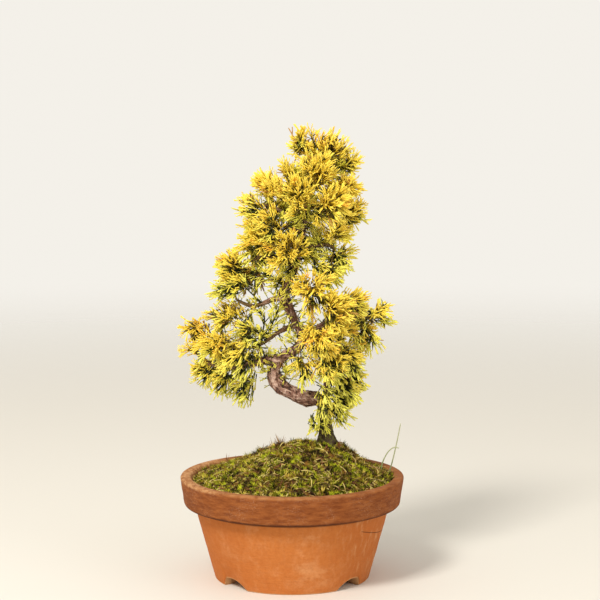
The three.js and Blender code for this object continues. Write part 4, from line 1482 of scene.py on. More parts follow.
@dataclass
class Ground:
    """The moss over the soil, its fronds, and the litter that lies in it."""

    rings: int = 76
    sectors: int = 210
    edge_gap: float = 0.36
    edge_sink: float = 0.8
    depth: float = 2.4
    crumble: float = 0.85
    outermost: float = 0.995
    skin_tip: float = 0.12
    clumps: tuple[tuple[float, float, float, float], ...] = (
        (66.0, 0.0, 19.0, 4.2), (38.0, 10.0, 9.0, 5.0), (-12.0, 8.0, 5.0, 2.6), (24.0, -9.0, 6.0, 2.2),
        (-27.0, 9.0, 14.0, -4.4), (34.0, -3.0, 4.5, 4.4), (25.0, -8.0, 5.0, 3.0), (0.0, 4.0, 14.0, -2.4),
    )
    dry_tufts: tuple[tuple[Tuft, float, float, float], ...] = (
        (Tuft(15, 9.4, 0.54, (0.1, 1.0), 51), -8.5, 13.0, 0.50),
        (Tuft(11, 8.2, 0.50, (0.2, 1.2), 52), -13.5, 14.0, 0.44),
        (Tuft(9, 6.6, 0.48, (0.3, 1.2), 53), -21.0, 14.0, 0.36),
        (Tuft(5, 8.4, 0.50, (0.0, 0.5), 54), -47.5, 18.0, 0.42),
        (Tuft(9, 6.4, 0.50, (0.2, 1.1), 55), 38.0, 3.0, 0.46),
        (Tuft(9, 5.4, 0.50, (0.2, 1.2), 56), 33.5, -2.0, 0.38),
    )
    fronds: tuple[Tuft, ...] = (
        Tuft(7, 2.6, 0.28, (0.3, 1.1), 1), Tuft(8, 2.2, 0.30, (0.5, 1.3), 2),
        Tuft(6, 3.2, 0.26, (0.1, 0.9), 3), Tuft(9, 2.0, 0.28, (0.6, 1.35), 4),
    )
    stems: tuple[DryStem, ...] = (
        DryStem(6.0, 0.28, 0.5, 1), DryStem(8.4, 0.30, 1.0, 2), DryStem(10.5, 0.26, 1.6, 3),
        DryStem(4.4, 0.34, 0.3, 4), DryStem(7.0, 0.32, 1.8, 5),
    )
    crumbs: tuple[Crumb, ...] = (
        Crumb(1.5, 0.9, 0.5, 1), Crumb(2.3, 0.8, 0.35, 2), Crumb(1.1, 1.0, 0.8, 3),
    )
    frond_density: float = 0.27
    stem_density: float = 0.100
    crumb_density: float = 0.060

    def heaped(self, x: float, y: float) -> float:
        """How high the moss is heaped up at a place, at the right of the rim and about the trunk."""
        rough = 0.8 + 0.6 * noise.noise(Vector((x, y, 5.0)) * 0.2)
        return rough * sum(height * math.exp(-((x - at_x) ** 2 + (y - at_y) ** 2) / width**2)
                           for at_x, at_y, width, height in self.clumps)

    def top(self) -> list[list[float]]:
        """The points of the moss's upper side, from its middle out in rings.

        Returns:
            Rows of x, y and height.
        """
        edge = wall_radius(SOIL_EDGE) - self.edge_gap
        points = [[0.0, 0.0, moss_height(0.0, 0.0)]]
        for share in np.linspace(0.0, 1.0, self.rings + 1)[1:]:
            for angle in ring_angles(self.sectors):
                x, y = edge * share * math.cos(angle), edge * share * math.sin(angle)
                fine = noise.noise(Vector((x, y, 3.0)) * 0.55) + 0.6 * noise.noise(Vector((x, y, 9.0)) * 1.3)
                height = moss_height(x, y) - self.edge_sink * share**8 + self.crumble * fine
                height += self.heaped(x, y)
                to_wall = (wall_radius(height) - self.edge_gap) / edge if share > self.outermost else 1.0
                points.append([x * to_wall, y * to_wall, height])
        return points

    def skin(self) -> Mesh:
        """The moss's closed skin, cushioned as its solid is, with a finer crumble.

        Returns:
            The mesh.
        """
        top, sectors = self.top(), self.sectors
        skirt = [[x, y, height - self.depth] for x, y, height in top[-sectors:]]
        points = np.array(top + skirt + [[0.0, 0.0, SOIL_EDGE - self.depth]])
        faces = [(0, 1 + k, 1 + (k + 1) % sectors) for k in range(sectors)]
        for ring in range(self.rings):
            for k in range(sectors):
                here, there = 1 + ring * sectors + k, 1 + ring * sectors + (k + 1) % sectors
                faces.append((here, here + sectors, there + sectors, there))
        last = 1 + self.rings * sectors
        faces += [(last + k, len(points) - 1, last + (k + 1) % sectors) for k in range(sectors)]
        return Shell.of(points, faces, tip=self.skin_tip).mesh("moss_skin")

    def tufts(self, finish: Material) -> None:
        """Makes the dry tufts that stand up from the moss.

        Args:
            finish: the litter's finish.
        """
        shell = Shell()
        for tuft, x, y, tint in self.dry_tufts:
            tuft.add_to(shell, (x, y, moss_height(x, y) + self.heaped(x, y)), tint=tint)
        show(shell.mesh("dry_tufts", finish), "dry_tufts", "moss")

    def build(self, moss: Material, litter: Material) -> None:
        """Makes the moss with its fronds, then the litter.

        Args:
            moss: the finish of the moss and its fronds.
            litter: the finish of what lies on it.
        """
        tree = scatter_tree()
        skin = self.skin()
        fronds = variants("frond", self.fronds)
        common = {"Tilt": 0.5, "Along": 0.0, "Steepest": 0.25, "Lowest": 0.0, "Sun": 0.0, "Barest": 0.12}
        ground = tree.grow(skin, "mossy_ground", Shapes=fronds, Kinds=len(self.fronds), Density=0.0,
                           Smallest=1.0, Largest=1.0, Rise=0.0, Seed=1, Keep_ground=True, Finish=moss,
                           **common)
        show(ground, "mossy_ground", "moss", "moss_carpet")
        for name, shapes, finish, density, smallest, largest, rise, seed in (
            ("moss_fronds", fronds, moss, self.frond_density, 0.7, 1.6, -0.15, 11),
            ("dry_stems", variants("stem", self.stems), litter, self.stem_density, 0.6, 1.3, 0.75, 23),
            ("bark_crumbs", variants("crumb", self.crumbs), litter, self.crumb_density, 0.6, 1.3, 0.55, 37),
        ):
            strewn = tree.grow(skin, name, Shapes=shapes, Kinds=len(shapes.objects),
                               Density=density / MM**2, Smallest=smallest, Largest=largest,
                               Rise=rise * MM, Seed=seed, Keep_ground=False, Finish=finish, **common)
            show(strewn, name, "moss")
        self.tufts(litter)


# Wood


def dots(first: np.ndarray, second: np.ndarray) -> np.ndarray:
    """The dot product of each row with the same row of another table."""
    return np.einsum("ij,ij->i", first, second)


@dataclass
class Wood:
    """Trunk, limbs and twigs, grown together under one bark."""

    steps: int = 8
    sides: int = 20
    voxel: float = 0.56
    bark_depth: float = 0.85
    buried_stations: int = 4
    full_girth: float = 5.0
    twig_girth: float = 0.1
    bark_wrap: float = 1.6
    bark_stretch: float = 0.17
    flake_density: float = 0.10
    flakes: tuple[Crumb, ...] = (
        Crumb(3.4, 0.9, 0.22, 11), Crumb(2.3, 1.2, 0.2, 12), Crumb(4.6, 0.7, 0.25, 13),
    )

    def root_flare(self, station: np.ndarray, angle: np.ndarray) -> np.ndarray:
        """How the trunk swells into roots about its third station."""
        flare = np.clip(1 - np.abs(station - 3) / 2.2, 0, 1)
        return 1 + 0.13 * flare * np.cos(4 * angle + 0.6) + 0.08 * flare * np.cos(3 * angle - 1)

    def trunk_radii(self, radii: np.ndarray) -> np.ndarray:
        """The trunk's radius at each point and side, with its flutes and swellings.

        Args:
            radii: the radius at each point.

        Returns:
            A row of radii for each point.
        """
        station = (np.arange(len(radii)) / self.steps)[:, None]
        share = station / (len(TRUNK) - 1)
        angle = ring_angles(self.sides)[None]
        swelling = 0.07 * np.sin(61 * share + 2 * angle) + 0.05 * np.sin(97 * share - 3 * angle)
        knots = 0.05 * np.sin(173 * share + angle) * np.cos(131 * share)
        above = station > self.buried_stations
        return radii[:, None] * self.root_flare(station, angle) * (1 + np.where(above, swelling + knots, 0.0))

    def fused(self, form: Mesh) -> Mesh:
        """Fuses fine tubes along the trunk and limbs with the node's own twigs.

        Args:
            form: a copy of the node's mesh.

        Returns:
            One closed mesh.
        """
        shell = Shell()
        trunk = smooth_path(TRUNK, self.steps)
        shell.add(*tube(trunk[:, :3], self.trunk_radii(trunk[:, 3]), self.sides))
        for stations in LIMBS.values():
            limb = smooth_path(stations, self.steps)
            shell.add(*tube(limb[:, :3], limb[:, 3], self.sides // 2))
        shell.add(points_of(form), [tuple(face.vertices) for face in form.polygons])
        carrier = new_object("wood_carrier", shell.mesh("wood_tubes"))
        remesh = carrier.modifiers.new("fuse", "REMESH")
        remesh.mode = "VOXEL"
        remesh.voxel_size = self.voxel * MM
        soften = carrier.modifiers.new("soften", "SMOOTH")
        soften.factor = 0.5
        soften.iterations = 2
        return made_plain(carrier)

    def lines(self) -> np.ndarray:
        """Rows along all the wood: place, radius, the frame's three directions, and the run so far.

        Returns:
            A row for each point of the lines.
        """
        rows = []
        for stations in (TRUNK, *LIMBS.values()):
            path = smooth_path(stations, self.steps)
            places = path[:, :3]
            run = np.cumsum(np.linalg.norm(np.diff(places, axis=0, prepend=places[:1]), axis=1))
            rows.append(np.column_stack([path, *frames(places), run]))
        return np.vstack(rows)

    def mark(self, mesh: Mesh) -> None:
        """Stores at each point its place along and around the nearest wood, and how stout that wood is.

        Args:
            mesh: the fused wood.
        """
        line = self.lines()
        tree = kdtree.KDTree(len(line))
        for index, row in enumerate(line):
            tree.insert(row[:3], index)
        tree.balance()
        places = points_of(mesh)
        near = line[[tree.find(place)[1] for place in places]]
        radius, run = near[:, 3], near[:, 13]
        tangent, normal, binormal = near[:, 4:7], near[:, 7:10], near[:, 10:13]
        offset = places - near[:, :3]
        away = np.linalg.norm(offset, axis=1)
        along = run + dots(offset, tangent)
        across = dots(offset, normal) / np.maximum(away, 0.1)
        over = dots(offset, binormal) / np.maximum(away, 0.1)
        girth = np.clip(radius / self.full_girth, 0.0, 1.0)
        store_on(mesh, "bark", np.column_stack([
            across * self.bark_wrap, over * self.bark_wrap, along * self.bark_stretch]))
        store_on(mesh, "run", tangent)
        store_on(mesh, "girth", np.where(away > 1.3 * radius + 0.7, self.twig_girth, girth))

    def bark_tree(self) -> GrowthTree:
        """A tree that raises the bark's strips, opens its cracks and lays loose flakes on it.

        Returns:
            The tree.
        """
        tree = GrowthTree("bark", {
            "Depth": "Float", "Flakes": "Collection", "Density": "Float", "Finish": "Material"})
        graph, given = tree.graph, tree.given
        run, girth = graph.reading("bark", VECTOR), graph.reading("girth")
        strips, plates = graph.swing(run, *BARK_STRIPS), graph.swing(run, 2.4, 2.0, 0.5, 0.6)
        relief = graph.plus(graph.times(strips, 2.4), plates)
        depth = graph.times(relief, given["Depth"], girth)
        barked = graph.moved(given["Geometry"], graph.vector(
            "SCALE", graph.out("GeometryNodeInputNormal", 0), depth))
        loose = graph.add("GeometryNodeDistributePointsOnFaces", {
            "Mesh": barked, "Selection": graph.math("GREATER_THAN", girth, 0.5),
            "Density": given["Density"], "Seed": 5})
        flat = graph.aimed(graph.vector("ADD", loose.outputs["Normal"], graph.astray(0.3, 6)))
        laid = graph.out("FunctionNodeAlignRotationToVector", 0, {
            "Rotation": flat, "Vector": graph.reading("run", VECTOR)}, axis="X", pivot_axis="Z")
        flakes = graph.stand(
            loose.outputs["Points"], given["Flakes"], laid,
            which=graph.random(0, len(self.flakes) - 1, 7, "INT"), size=graph.random(0.55, 1.2, 8))
        tree.finish(graph.join(barked, flakes))
        return tree

    def build(self, node: Thing, finish: Material) -> Thing:
        """Makes the wood.

        Args:
            node: the wood's node.
            finish: the bark.

        Returns:
            The piece.
        """
        mesh = self.fused(joined_copy(node))
        self.mark(mesh)
        barked = self.bark_tree().grow(
            mesh, "barked_wood", Depth=self.bark_depth * MM, Flakes=variants("flake", self.flakes),
            Density=self.flake_density / MM**2, Finish=finish)
        return show(barked, "barked_wood", "bark", "trunk_and_branches")


# Foliage


class Exposure(Enum):
    """How much light a spray has grown in, as a share of gold, and the painted light on its leaves."""

    CROWN = 1.0
    OPEN = 0.84
    HALF = 0.62
    SHADE = 0.42

    @property
    def droop(self) -> float:
        """How far the shoots hang instead of rising."""
        return {Exposure.HALF: 0.18, Exposure.SHADE: 0.42}.get(self, 0.0)


EXPOSURES: dict[Exposure, tuple[str, ...]] = {
    Exposure.CROWN: (
        "apex_crown", "apex_front", "upper_front", "upper_left", "right_crown_front", "right_inner",
        "right_front", "left_tip", "mid_front", "upper_front_right",
    ),
    Exposure.HALF: (
        "droop_front", "droop_right", "left_outer", "left_front", "left_back", "left_inner",
        "mid_left_low", "right_low", "mid_back", "mid_back_left", "mid_left_back", "right_back",
        "droop_inner", "mid_right",
    ),
    Exposure.SHADE: (
        "droop_right_low", "droop_low", "droop_trunk", "droop_back", "droop_foot", "left_low",
        "left_hang", "mid_right_low",
    ),
}

# How full some sprays are, where 1 is common
FULLNESS: dict[str, float] = {
    "left_inner": 0.6, "left_front": 0.75, "left_hang": 0.85, "upper_front_low": 0.6, "mid_front": 0.75,
    "mid_back": 0.7, "droop_trunk": 0.65, "droop_inner": 0.85, "upper_back": 2.2, "apex_back": 1.6,
    "upper_back_right": 1.6,
}

# How much further than their solids some sprays reach
REACH: dict[str, float] = {
    "apex_crown": 3.0, "apex_left": -2.0, "apex_tip": -2.0, "apex_right": -1.5, "apex_right_low": -2.0,
    "upper_left": -2.5, "upper_left_tip": -2.0, "upper_left_low": 3.0, "upper_right": -1.0, "mid_left": 4.0,
    "mid_left_low": 1.5, "mid_right": 1.5, "mid_right_low": 3.0, "right_top": 2.0, "right_tip": -1.0,
    "right_low": 1.5, "droop_right": 1.0, "left_outer": -4.0, "left_low": -3.5, "left_hang": 1.0,
    "upper_front_right": 1.0, "droop_foot": -2.5, "droop_inner": 1.0,
}


def exposure_of(spray: str) -> Exposure:
    """The light that a spray has grown in.

    Args:
        spray: the spray's name, without its prefix.

    Returns:
        The exposure.
    """
    for exposure, sprays in EXPOSURES.items():
        if spray in sprays:
            return exposure
    return Exposure.OPEN


@dataclass
class Sprig:
    """A forked shoot of scale leaves: a long cord with finger-like side cords."""

    length: float
    radius: float
    forks: int
    bend: float
    seed: int
    sides: int = 4
    cord_rings: int = 6
    fork_rings: int = 3
    fork_girth: float = 0.9
    fork_turn: float = 2.5
    fork_bend: float = -0.22
    lowest_fork: float = 0.32
    highest_fork: float = 0.76
    leaf_step: float = 0.86
    tip_girth: float = 0.8

    def scaled(self, rings: int, radius: float) -> np.ndarray:
        """The radii of a cord whose leaf pairs stand out in turn, with a blunt point."""
        turns = np.where(np.arange(rings) % 2 == 0, 1.0, self.leaf_step)
        radii = radius * turns * np.linspace(1.0, self.tip_girth, rings)
        return np.append(radii, 0.0)

    def add_cord(self, shell: Shell, path: np.ndarray, radius: float, shares: np.ndarray,
                 shade: float) -> None:
        """Adds one cord.

        Args:
            shell: what the cord is added to.
            path: its points.
            radius: its radius at the foot.
            shares: how near the sprig's tip each point is.
            shade: how much greener or more golden it is than the others.
        """
        tips = [share for share in shares[:-1] for _ in range(self.sides)] + [1.0]
        shell.add(*tube(path, self.scaled(len(path) - 1, radius), self.sides), tip=tips, shade=shade)

    def build(self, name: str) -> Thing:
        """Makes the sprig about the origin, growing along +Z.

        Args:
            name: the shape's name.

        Returns:
            The shape.
        """
        draw = np.random.default_rng(self.seed)
        shell = Shell()
        t = np.append(np.linspace(0.0, 0.95, self.cord_rings), 1.0)
        lean = draw.uniform(-1, 1, 2) * self.bend
        self.add_cord(shell, np.column_stack([lean[0] * t**2, lean[1] * t**2, self.length * t]),
                      self.radius, t, 0.0)
        u = np.append(np.linspace(0.0, 0.94, self.fork_rings), 1.0)[:, None]
        for fork in range(self.forks):
            spread = (fork + draw.uniform(0.0, 0.7)) / self.forks
            share = self.lowest_fork + (self.highest_fork - self.lowest_fork) * spread
            turn = fork * self.fork_turn + draw.uniform(-0.5, 0.5)
            out = direction(draw.uniform(0.34, 0.66), turn)
            reach = self.length * (1.0 - share) * draw.uniform(0.75, 1.0)
            start = np.array([lean[0] * share**2, lean[1] * share**2, self.length * share])
            inward = self.fork_bend * np.array([out[0], out[1], -0.6])
            self.add_cord(shell, start + reach * (out * u + inward * u**2), self.radius * self.fork_girth,
                          share + (1 - share) * u[:, 0], draw.uniform(-1, 1))
        return shell.shape(name)


@dataclass
class Foliage:
    """All the sprays: each keeps its solid's cords, thinned, and bears sprigs at their tips and sides."""

    thinning: float = 0.30
    side_density: float = 0.048
    kept_tips: float = 1.0
    set_back: float = 9.6
    side_set_back: float = 5.4
    heart: Triple = (8 * MM, 0.0, 212 * MM)
    comb: Triple = (1.0, 0.5, 0.3)
    sweep: float = 0.75
    wander: float = 0.42
    cord_tint: float = 0.4
    seed: int = 100
    sprigs: tuple[Sprig, ...] = (
        Sprig(12.0, 0.55, 2, 1.8, 1), Sprig(12.8, 0.51, 1, 3.2, 2), Sprig(11.0, 0.56, 1, 1.6, 3),
        Sprig(12.4, 0.51, 1, 4.0, 4), Sprig(13.4, 0.53, 2, 3.0, 5), Sprig(11.4, 0.53, 1, 2.8, 6),
        Sprig(12.4, 0.53, 1, 4.2, 7), Sprig(11.8, 0.55, 2, 1.2, 8),
    )

    def feet(self, tree: GrowthTree, pointed: Socket, outward: Socket) -> Socket:
        """Points for sprigs at a spray's tips and on its sides.

        Args:
            tree: the tree that is being made.
            pointed: which of the solid's points are tips.
            outward: the way out from the spray's middle.

        Returns:
            The points, with the way that each one aims and how far it is set back.
        """
        graph, given = tree.graph, tree.given
        place = graph.out("GeometryNodeInputPosition", 0)
        blurred = graph.out("GeometryNodeBlurAttribute", "Value", {"Value": place, "Iterations": 1},
                            data_type=VECTOR)
        form = graph.store(given["Geometry"], "aim", graph.vector("SUBTRACT", place, blurred), VECTOR)
        keep = graph.math("LESS_THAN", graph.random(0.0, 1.0, graph.seeded(given["Seed"], 7)),
                          given["Kept tips"])
        tips = graph.out("GeometryNodeMeshToPoints", 0, {
            "Mesh": form, "Selection": graph.times(keep, pointed)})
        tips = graph.store(tips, "back", given["Set back"])
        tips = graph.store(tips, "aim", graph.vector("NORMALIZE", graph.reading("aim", VECTOR)), VECTOR)
        sides = graph.add("GeometryNodeDistributePointsOnFaces", {
            "Mesh": form, "Density": given["Side density"], "Seed": given["Seed"]})
        side_aim = graph.vector("NORMALIZE", graph.vector(
            "ADD", graph.vector("SCALE", sides.outputs["Normal"], 0.75), outward))
        side_points = graph.store(sides.outputs["Points"], "back", self.side_set_back * MM)
        return graph.join(tips, graph.store(side_points, "aim", side_aim, VECTOR))

    def combed(self, tree: GrowthTree, points: Socket, outward: Socket) -> Socket:
        """Aims the points away from the tree's heart, sets them back and gives them their light.

        Args:
            tree: the tree that is being made.
            points: the points for sprigs.
            outward: the way out from the spray's middle.

        Returns:
            The points.
        """
        graph, given = tree.graph, tree.given
        place = graph.out("GeometryNodeInputPosition", 0)
        from_heart = graph.vector("MULTIPLY", graph.vector("SUBTRACT", place, self.heart), self.comb)
        sweep = graph.vector("SCALE", graph.vector("NORMALIZE", from_heart), self.sweep)
        wander = graph.astray(self.wander, graph.seeded(given["Seed"], 1))
        hang = graph.upright(graph.times(given["Droop"], -1.0))
        lean = graph.vector("ADD", sweep, graph.vector("ADD", wander, hang))
        aim = graph.reading("aim", VECTOR)
        points = graph.store(
            points, "aim", graph.vector("NORMALIZE", graph.vector("ADD", aim, lean)), VECTOR)
        points = graph.moved(points, graph.vector("SCALE", aim, graph.times(graph.reading("back"), -1.0)))
        # Painted light: sprigs that aim up, and those on a spray's top, get more sun
        rise = graph.times(graph.height_of(aim), 0.12)
        height = graph.times(graph.height_of(outward), 0.26)
        chance = graph.random(-0.14, 0.14, graph.seeded(given["Seed"], 2))
        sun = graph.plus(graph.plus(given["Sun"], rise), graph.plus(height, chance))
        points = graph.store(points, "sun", sun)
        return graph.store(points, "tint", graph.random(0.0, 1.0, graph.seeded(given["Seed"], 3)))

    def tree(self) -> GrowthTree:
        """A tree that grows sprigs from the points of a spray's solid and from its sides.

        Returns:
            The tree.
        """
        tree = GrowthTree("spray", {
            "Sprigs": "Collection", "Kinds": "Int", "Sun": "Float", "Droop": "Float", "Seed": "Int",
            "Thinning": "Float", "Side density": "Float", "Kept tips": "Float", "Set back": "Float",
            "Finish": "Material",
        })
        graph, given = tree.graph, tree.given
        seed = given["Seed"]
        place = graph.out("GeometryNodeInputPosition", 0)
        middle = graph.out("GeometryNodeAttributeStatistic", "Mean", {
            "Geometry": given["Geometry"], "Attribute": place}, data_type=VECTOR)
        outward = graph.vector("NORMALIZE", graph.vector("SUBTRACT", place, middle))
        neighbours = graph.out("GeometryNodeInputMeshVertexNeighbors", 0)
        pointed = graph.out("FunctionNodeCompare", 0, {"A": neighbours, "B": 3}, data_type="INT",
                            operation="EQUAL")
        points = self.combed(tree, self.feet(tree, pointed, outward), outward)
        grown = graph.stand(
            points, given["Sprigs"], graph.rolled(graph.reading("aim", VECTOR), graph.seeded(seed, 4)),
            which=graph.random(0, graph.minus(given["Kinds"], 1.0), graph.seeded(seed, 5), "INT"),
            size=graph.random(0.76, 1.08, graph.seeded(seed, 6)))

        thinner = graph.vector("SCALE", graph.out("GeometryNodeInputNormal", 0),
                               graph.times(given["Thinning"], -1.0))
        # Painted shade: the solid's cords lie inside the spray, so a low tip and less sun darken them
        cords = graph.store(given["Geometry"], "tip", graph.plus(0.08, graph.times(pointed, 0.45)))
        cords = graph.store(graph.moved(cords, thinner), "sun", graph.minus(given["Sun"], 0.1))
        tree.finish(graph.join(graph.store(cords, "tint", self.cord_tint), grown))
        return tree

    def build(self, nodes: dict[str, Thing], finish: Material) -> None:
        """Makes every spray around its node.

        Args:
            nodes: the part's nodes, by name.
            finish: the scale leaves.
        """
        tree = self.tree()
        shapes = variants("sprig", self.sprigs)
        total = 0
        for index, name in enumerate(sorted(name for name in nodes if name.startswith("spray_"))):
            spray = name.removeprefix("spray_")
            exposure, share = exposure_of(spray), FULLNESS.get(spray, 1.0)
            grown = tree.grow(
                joined_copy(nodes[name]), "foliage_" + spray, Sprigs=shapes, Kinds=len(self.sprigs),
                Sun=exposure.value, Droop=exposure.droop, Seed=self.seed + 10 * index,
                Thinning=self.thinning * MM, Side_density=share * self.side_density / MM**2,
                Kept_tips=share * self.kept_tips, Set_back=(self.set_back - REACH.get(spray, 0.0)) * MM,
                Finish=finish)
            shaded = any(word in spray for word in SHADED)
            show(grown, "foliage_" + spray, "green_foliage" if shaded else "gold_foliage", name)
            total += sum(len(face.vertices) - 2 for face in grown.polygons)
        LOG.info("foliage: %d triangles in all", total)


@dataclass
class InnerShoots:
    """Green shoots on the limbs, where the light is thin, and the thin twigs that cross the open middle."""

    limb_density: float = 0.085
    twig_density: float = 0.30
    golden_density: float = 0.62
    lowest: float = 141.0
    crown_density: float = 0.13
    crown_lowest: float = 226.0
    twig_steps: int = 5
    twig_sides: int = 5
    twigs: dict[str, Stations] = field(default_factory=lambda: {
        "rising": ((-19, -3, 170.5, 0.75), (-15, -4, 180, 0.6), (-11, -4, 190, 0.5), (-8, -3, 197, 0.35)),
        "leaning": ((-22, -2, 168, 0.7), (-21, -4, 176, 0.6), (-19.5, -5, 186, 0.5), (-23, -6, 193, 0.3)),
        "hanging": ((-28, -2, 195, 0.7), (-30, -4, 188, 0.6), (-33, -6, 181, 0.5), (-36, -7, 175, 0.3)),
        "low": ((-20, -3, 156, 0.7), (-20, -5, 162, 0.55), (-24, -6, 169, 0.4), (-29, -7, 174, 0.3)),
        "crossing": ((-3, -1, 206, 0.7), (-12, -4, 214, 0.55), (-20, -5, 218, 0.4), (-28, -6, 219, 0.3)),
        "curtain": ((1, -3, 224, 0.7), (-4, -7, 219, 0.55), (-10, -9, 211, 0.4), (-13, -10, 203, 0.3)),
        "front_curtain": ((3, -3, 230, 0.7), (4, -9, 224, 0.5), (1, -11, 214, 0.4), (-2, -12, 207, 0.3)),
        "right_curtain": ((5, -2, 236, 0.7), (12, -6, 231, 0.55), (19, -8, 224, 0.4), (24, -9, 217, 0.3)),
        "left_bridge": ((-21, -2, 196.5, 0.7), (-26, -6, 202, 0.6), (-30, -8, 206, 0.5), (-33, -8, 209, 0.3)),
        "foot_left": ((22, -3, 126, 0.7), (21.5, -6, 120, 0.6), (21, -7, 114, 0.5), (20.5, -8, 108, 0.3)),
        "foot_right": ((25, -2, 124, 0.7), (30, -6, 120, 0.6), (33, -8, 116, 0.5), (35, -8, 112, 0.3)),
    })
    golden: dict[str, Stations] = field(default_factory=lambda: {
        "apex_middle": ((18, 1, 300, 0.7), (16.5, 0, 306, 0.6), (14.5, -1, 311, 0.5), (14, -1, 315, 0.35)),
        "apex_fan": ((18, 1, 300, 0.7), (19.5, 0, 306, 0.6), (21, -1, 311, 0.5), (22, -1, 315, 0.35)),
        "left_end": ((-67, -1, 161, 0.7), (-69.5, -3, 163, 0.6), (-71.5, -4, 164, 0.5), (-73, -4, 164, 0.3)),
    })
    sprigs: tuple[Sprig, ...] = (
        Sprig(8.0, 0.42, 2, 1.6, 31), Sprig(10.0, 0.40, 3, 2.2, 32), Sprig(6.4, 0.44, 2, 0.8, 33),
        Sprig(11.5, 0.38, 2, 2.8, 34), Sprig(9.0, 0.4, 4, 1.4, 35),
    )

    def twig_mesh(self, name: str, twigs: dict[str, Stations]) -> Mesh:
        """Thin twigs, with the way that each one runs.

        Args:
            name: the mesh's name.
            twigs: the stations of each twig.

        Returns:
            The mesh.
        """
        shell = Shell()
        for stations in twigs.values():
            path = smooth_path(stations, self.twig_steps)
            runs = np.repeat(frames(path[:, :3])[0], self.twig_sides, axis=0)
            shell.add(*tube(path[:, :3], path[:, 3], self.twig_sides), run=runs.tolist(), tip=0.2)
        return shell.mesh(name)

    def build(self, wood: Thing, finish: Material) -> None:
        """Makes the shoots on the limbs, then the thin twigs with theirs, green within and golden outside.

        Args:
            wood: the wood's node.
            finish: the scale leaves.
        """
        tree = scatter_tree()
        common = {"Shapes": variants("shoot", self.sprigs), "Kinds": len(self.sprigs), "Smallest": 0.7,
                  "Largest": 1.25, "Tilt": 0.5, "Rise": 0.0, "Steepest": -2.0, "Barest": 0.7,
                  "Finish": finish}
        # Painted shade: the shoots inside the tree get little sun, least in the crown, which darkens them
        for name, density, lowest, sun, seed in (
            ("limb_shoots", self.limb_density, self.lowest, 0.42, 71),
            ("crown_shoots", self.crown_density, self.crown_lowest, 0.18, 113),
        ):
            shoots = tree.grow(joined_copy(wood), name, Density=density / MM**2, Along=0.0,
                               Lowest=lowest * MM, Sun=sun, Seed=seed, Keep_ground=False, **common)
            show(shoots, name, "green_foliage")
        for name, twigs, density, along, sun, seed, slot in (
            ("twig_shoots", self.twigs, self.twig_density, 1.1, 0.52, 83, "green_foliage"),
            ("golden_shoots", self.golden, self.golden_density, 1.3, 0.95, 97, "gold_foliage"),
        ):
            shoots = tree.grow(self.twig_mesh(name + "_twigs", twigs), name, Density=density / MM**2,
                               Along=along, Lowest=0.0, Sun=sun, Seed=seed, Keep_ground=True, **common)
            show(shoots, name, slot)


# Grass


@dataclass
class GrassStalk:
    """One stalk that stands in the moss at the pot's edge."""

    node: str
    stations: Stations
    steps: int = 8
    sides: int = 6

    def build(self, finish: Material) -> Thing:
        """Makes the stalk.

        Args:
            finish: the grass.

        Returns:
            The piece.
        """
        path = smooth_path(self.stations, self.steps)
        radii = path[:, 3].copy()
        radii[-1] = 0.0
        last = len(path) - 1
        tips = [row / last for row in range(last) for _ in range(self.sides)] + [1.0]
        shell = Shell.of(*tube(path[:, :3], radii, self.sides), tip=tips)
        name = self.node + "_blade"
        return show(shell.mesh(name, finish), name, "grass", self.node)


GRASS: dict[str, Stations] = {
    "grass_stalk_tall": (
        (65.5, 9, 62, 0.5), (68.3, 9, 69, 0.5), (71.6, 8.8, 79, 0.45), (75, 8.4, 94, 0.4),
        (78, 8, 109.5, 0.35),
    ),
    "grass_stalk_arched": (
        (62.5, 2, 62, 0.5), (63.3, 2, 70, 0.5), (64.5, 2, 80.5, 0.45), (68, 1.5, 88.5, 0.4),
        (72.5, 1, 92.7, 0.4), (76.5, 1, 92.3, 0.35),
    ),
}


# Studio


@dataclass(frozen=True)
class Lamp:
    """A soft square lamp, in metres, that faces the tree."""

    name: str
    place: Triple
    size: float
    power: float
    colour: Colour
    aim: Triple = (0.0, 0.0, 0.16)

    def build(self) -> None:
        """Makes the lamp."""
        data = bpy.data.lights.new(self.name, "AREA")
        data.size, data.energy, data.color = self.size, self.power, self.colour
        lamp = new_object(self.name, data)
        lamp.location = self.place
        lamp.rotation_euler = (Vector(self.aim) - Vector(self.place)).to_track_quat("-Z", "Y").to_euler()


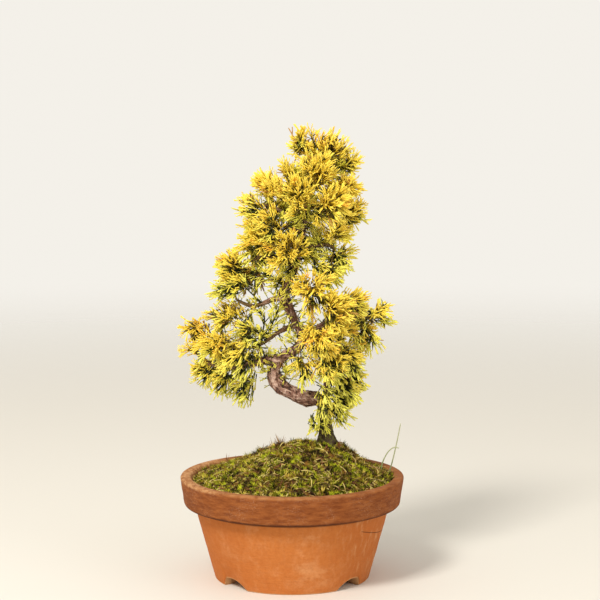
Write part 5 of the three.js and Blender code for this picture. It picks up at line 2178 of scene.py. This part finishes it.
@dataclass
class Studio:
    """The camera at the photograph's angle, a plain pale floor and plain soft light."""

    focal_px: float = 1875.1
    frame_px: float = 600.0
    sensor: float = 36.0
    nearest: float = 0.05
    furthest: float = 50.0
    pitch: float = 0.11360
    eye: Triple = (5.64, -1319.1, 349.5)
    backdrop: Colour = (0.905, 0.875, 0.815)
    floor_colour: Colour = (0.78, 0.745, 0.675)
    floor_reach: float = 2.6
    floor_sides: int = 96
    overhead: float = 0.75
    lamps: tuple[Lamp, ...] = (
        Lamp("key", (-0.75, -1.25, 1.6), 0.5, 34.0, (1.0, 0.97, 0.92)),
        Lamp("fill", (1.3, -1.1, 0.8), 1.0, 4.0, (0.95, 0.97, 1.0)),
    )

    def camera(self) -> None:
        """Makes the camera."""
        data = bpy.data.cameras.new("camera")
        data.sensor_width = self.sensor
        data.lens = self.sensor * self.focal_px / self.frame_px
        data.clip_start, data.clip_end = self.nearest, self.furthest
        camera = new_object("camera", data)
        camera.location = Vector(self.eye) * MM
        camera.rotation_euler = (math.pi / 2 - self.pitch, 0.0, 0.0)
        bpy.context.scene.camera = camera

    def floor(self) -> None:
        """Makes the floor, a disc that fades out before its edge."""
        rim = [(self.floor_reach * math.cos(a), self.floor_reach * math.sin(a), 0.0)
               for a in ring_angles(self.floor_sides)]
        mesh = bpy.data.meshes.new("floor")
        mesh.from_pydata(rim, [], [tuple(range(self.floor_sides))])
        graph = Finish("floor", 0.75, 0.2)
        graph.shader.inputs["Base Color"].default_value = (*self.floor_colour, 1.0)
        away = graph.vector("LENGTH", graph.out("ShaderNodeTexCoord", "Object"))
        fade = graph.spread(away, self.floor_reach * 0.8, self.floor_reach * 0.2)
        graph.feed(graph.shader.inputs["Alpha"], fade)
        mesh.materials.append(graph.material)
        new_object("floor", mesh)

    def light(self) -> None:
        """Makes the soft studio light and the pale surround."""
        world = bpy.data.worlds.new("surround")
        world.use_nodes = True
        ground = world.node_tree.nodes["Background"]
        ground.inputs["Color"].default_value = (*self.backdrop, 1.0)
        graph = Graph(world.node_tree)
        height = graph.height_of(graph.out("ShaderNodeTexCoord", "Generated"))
        graph.feed(ground.inputs["Strength"], graph.spread(height, 0.2, 0.75, 1.0, self.overhead))
        bpy.context.scene.world = world
        bpy.context.scene.view_settings.view_transform = "Standard"
        for lamp in self.lamps:
            lamp.build()

    def build(self) -> None:
        """Sets up the whole studio."""
        self.camera()
        self.floor()
        self.light()


def dress(node: Thing, finish: Material) -> None:
    """Gives a node that stays a better finish."""
    for slot in node.material_slots:
        slot.material = finish
    LOG.info("%s: keeps its solid", node.name)


def corners(bounds: Sequence[Vector]) -> list[list[float]]:
    """A box's corners as plain lists."""
    return [[float(number) for number in corner] for corner in bounds]


def main() -> None:
    """Builds the studio and every piece in order."""
    logging.basicConfig(level=logging.INFO, format="%(name)s: %(message)s")
    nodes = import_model()["nodes"]
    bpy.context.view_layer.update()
    Studio().build()
    Pot().build(TerracottaFinish().build())
    dress(nodes["drainage_screen"], ScreenFinish().build())
    dress(nodes["soil"], SoilFinish().build())
    Ground().build(MossFinish().build(), LitterFinish().build())
    Wood().build(nodes["trunk_and_branches"], BarkFinish().build())
    leaves = FoliageFinish().build()
    Foliage().build(nodes, leaves)
    InnerShoots().build(nodes["trunk_and_branches"], leaves)
    for name, stations in GRASS.items():
        GrassStalk(name, stations).build(GrassFinish().build())


if __name__ == "__main__":
    main()
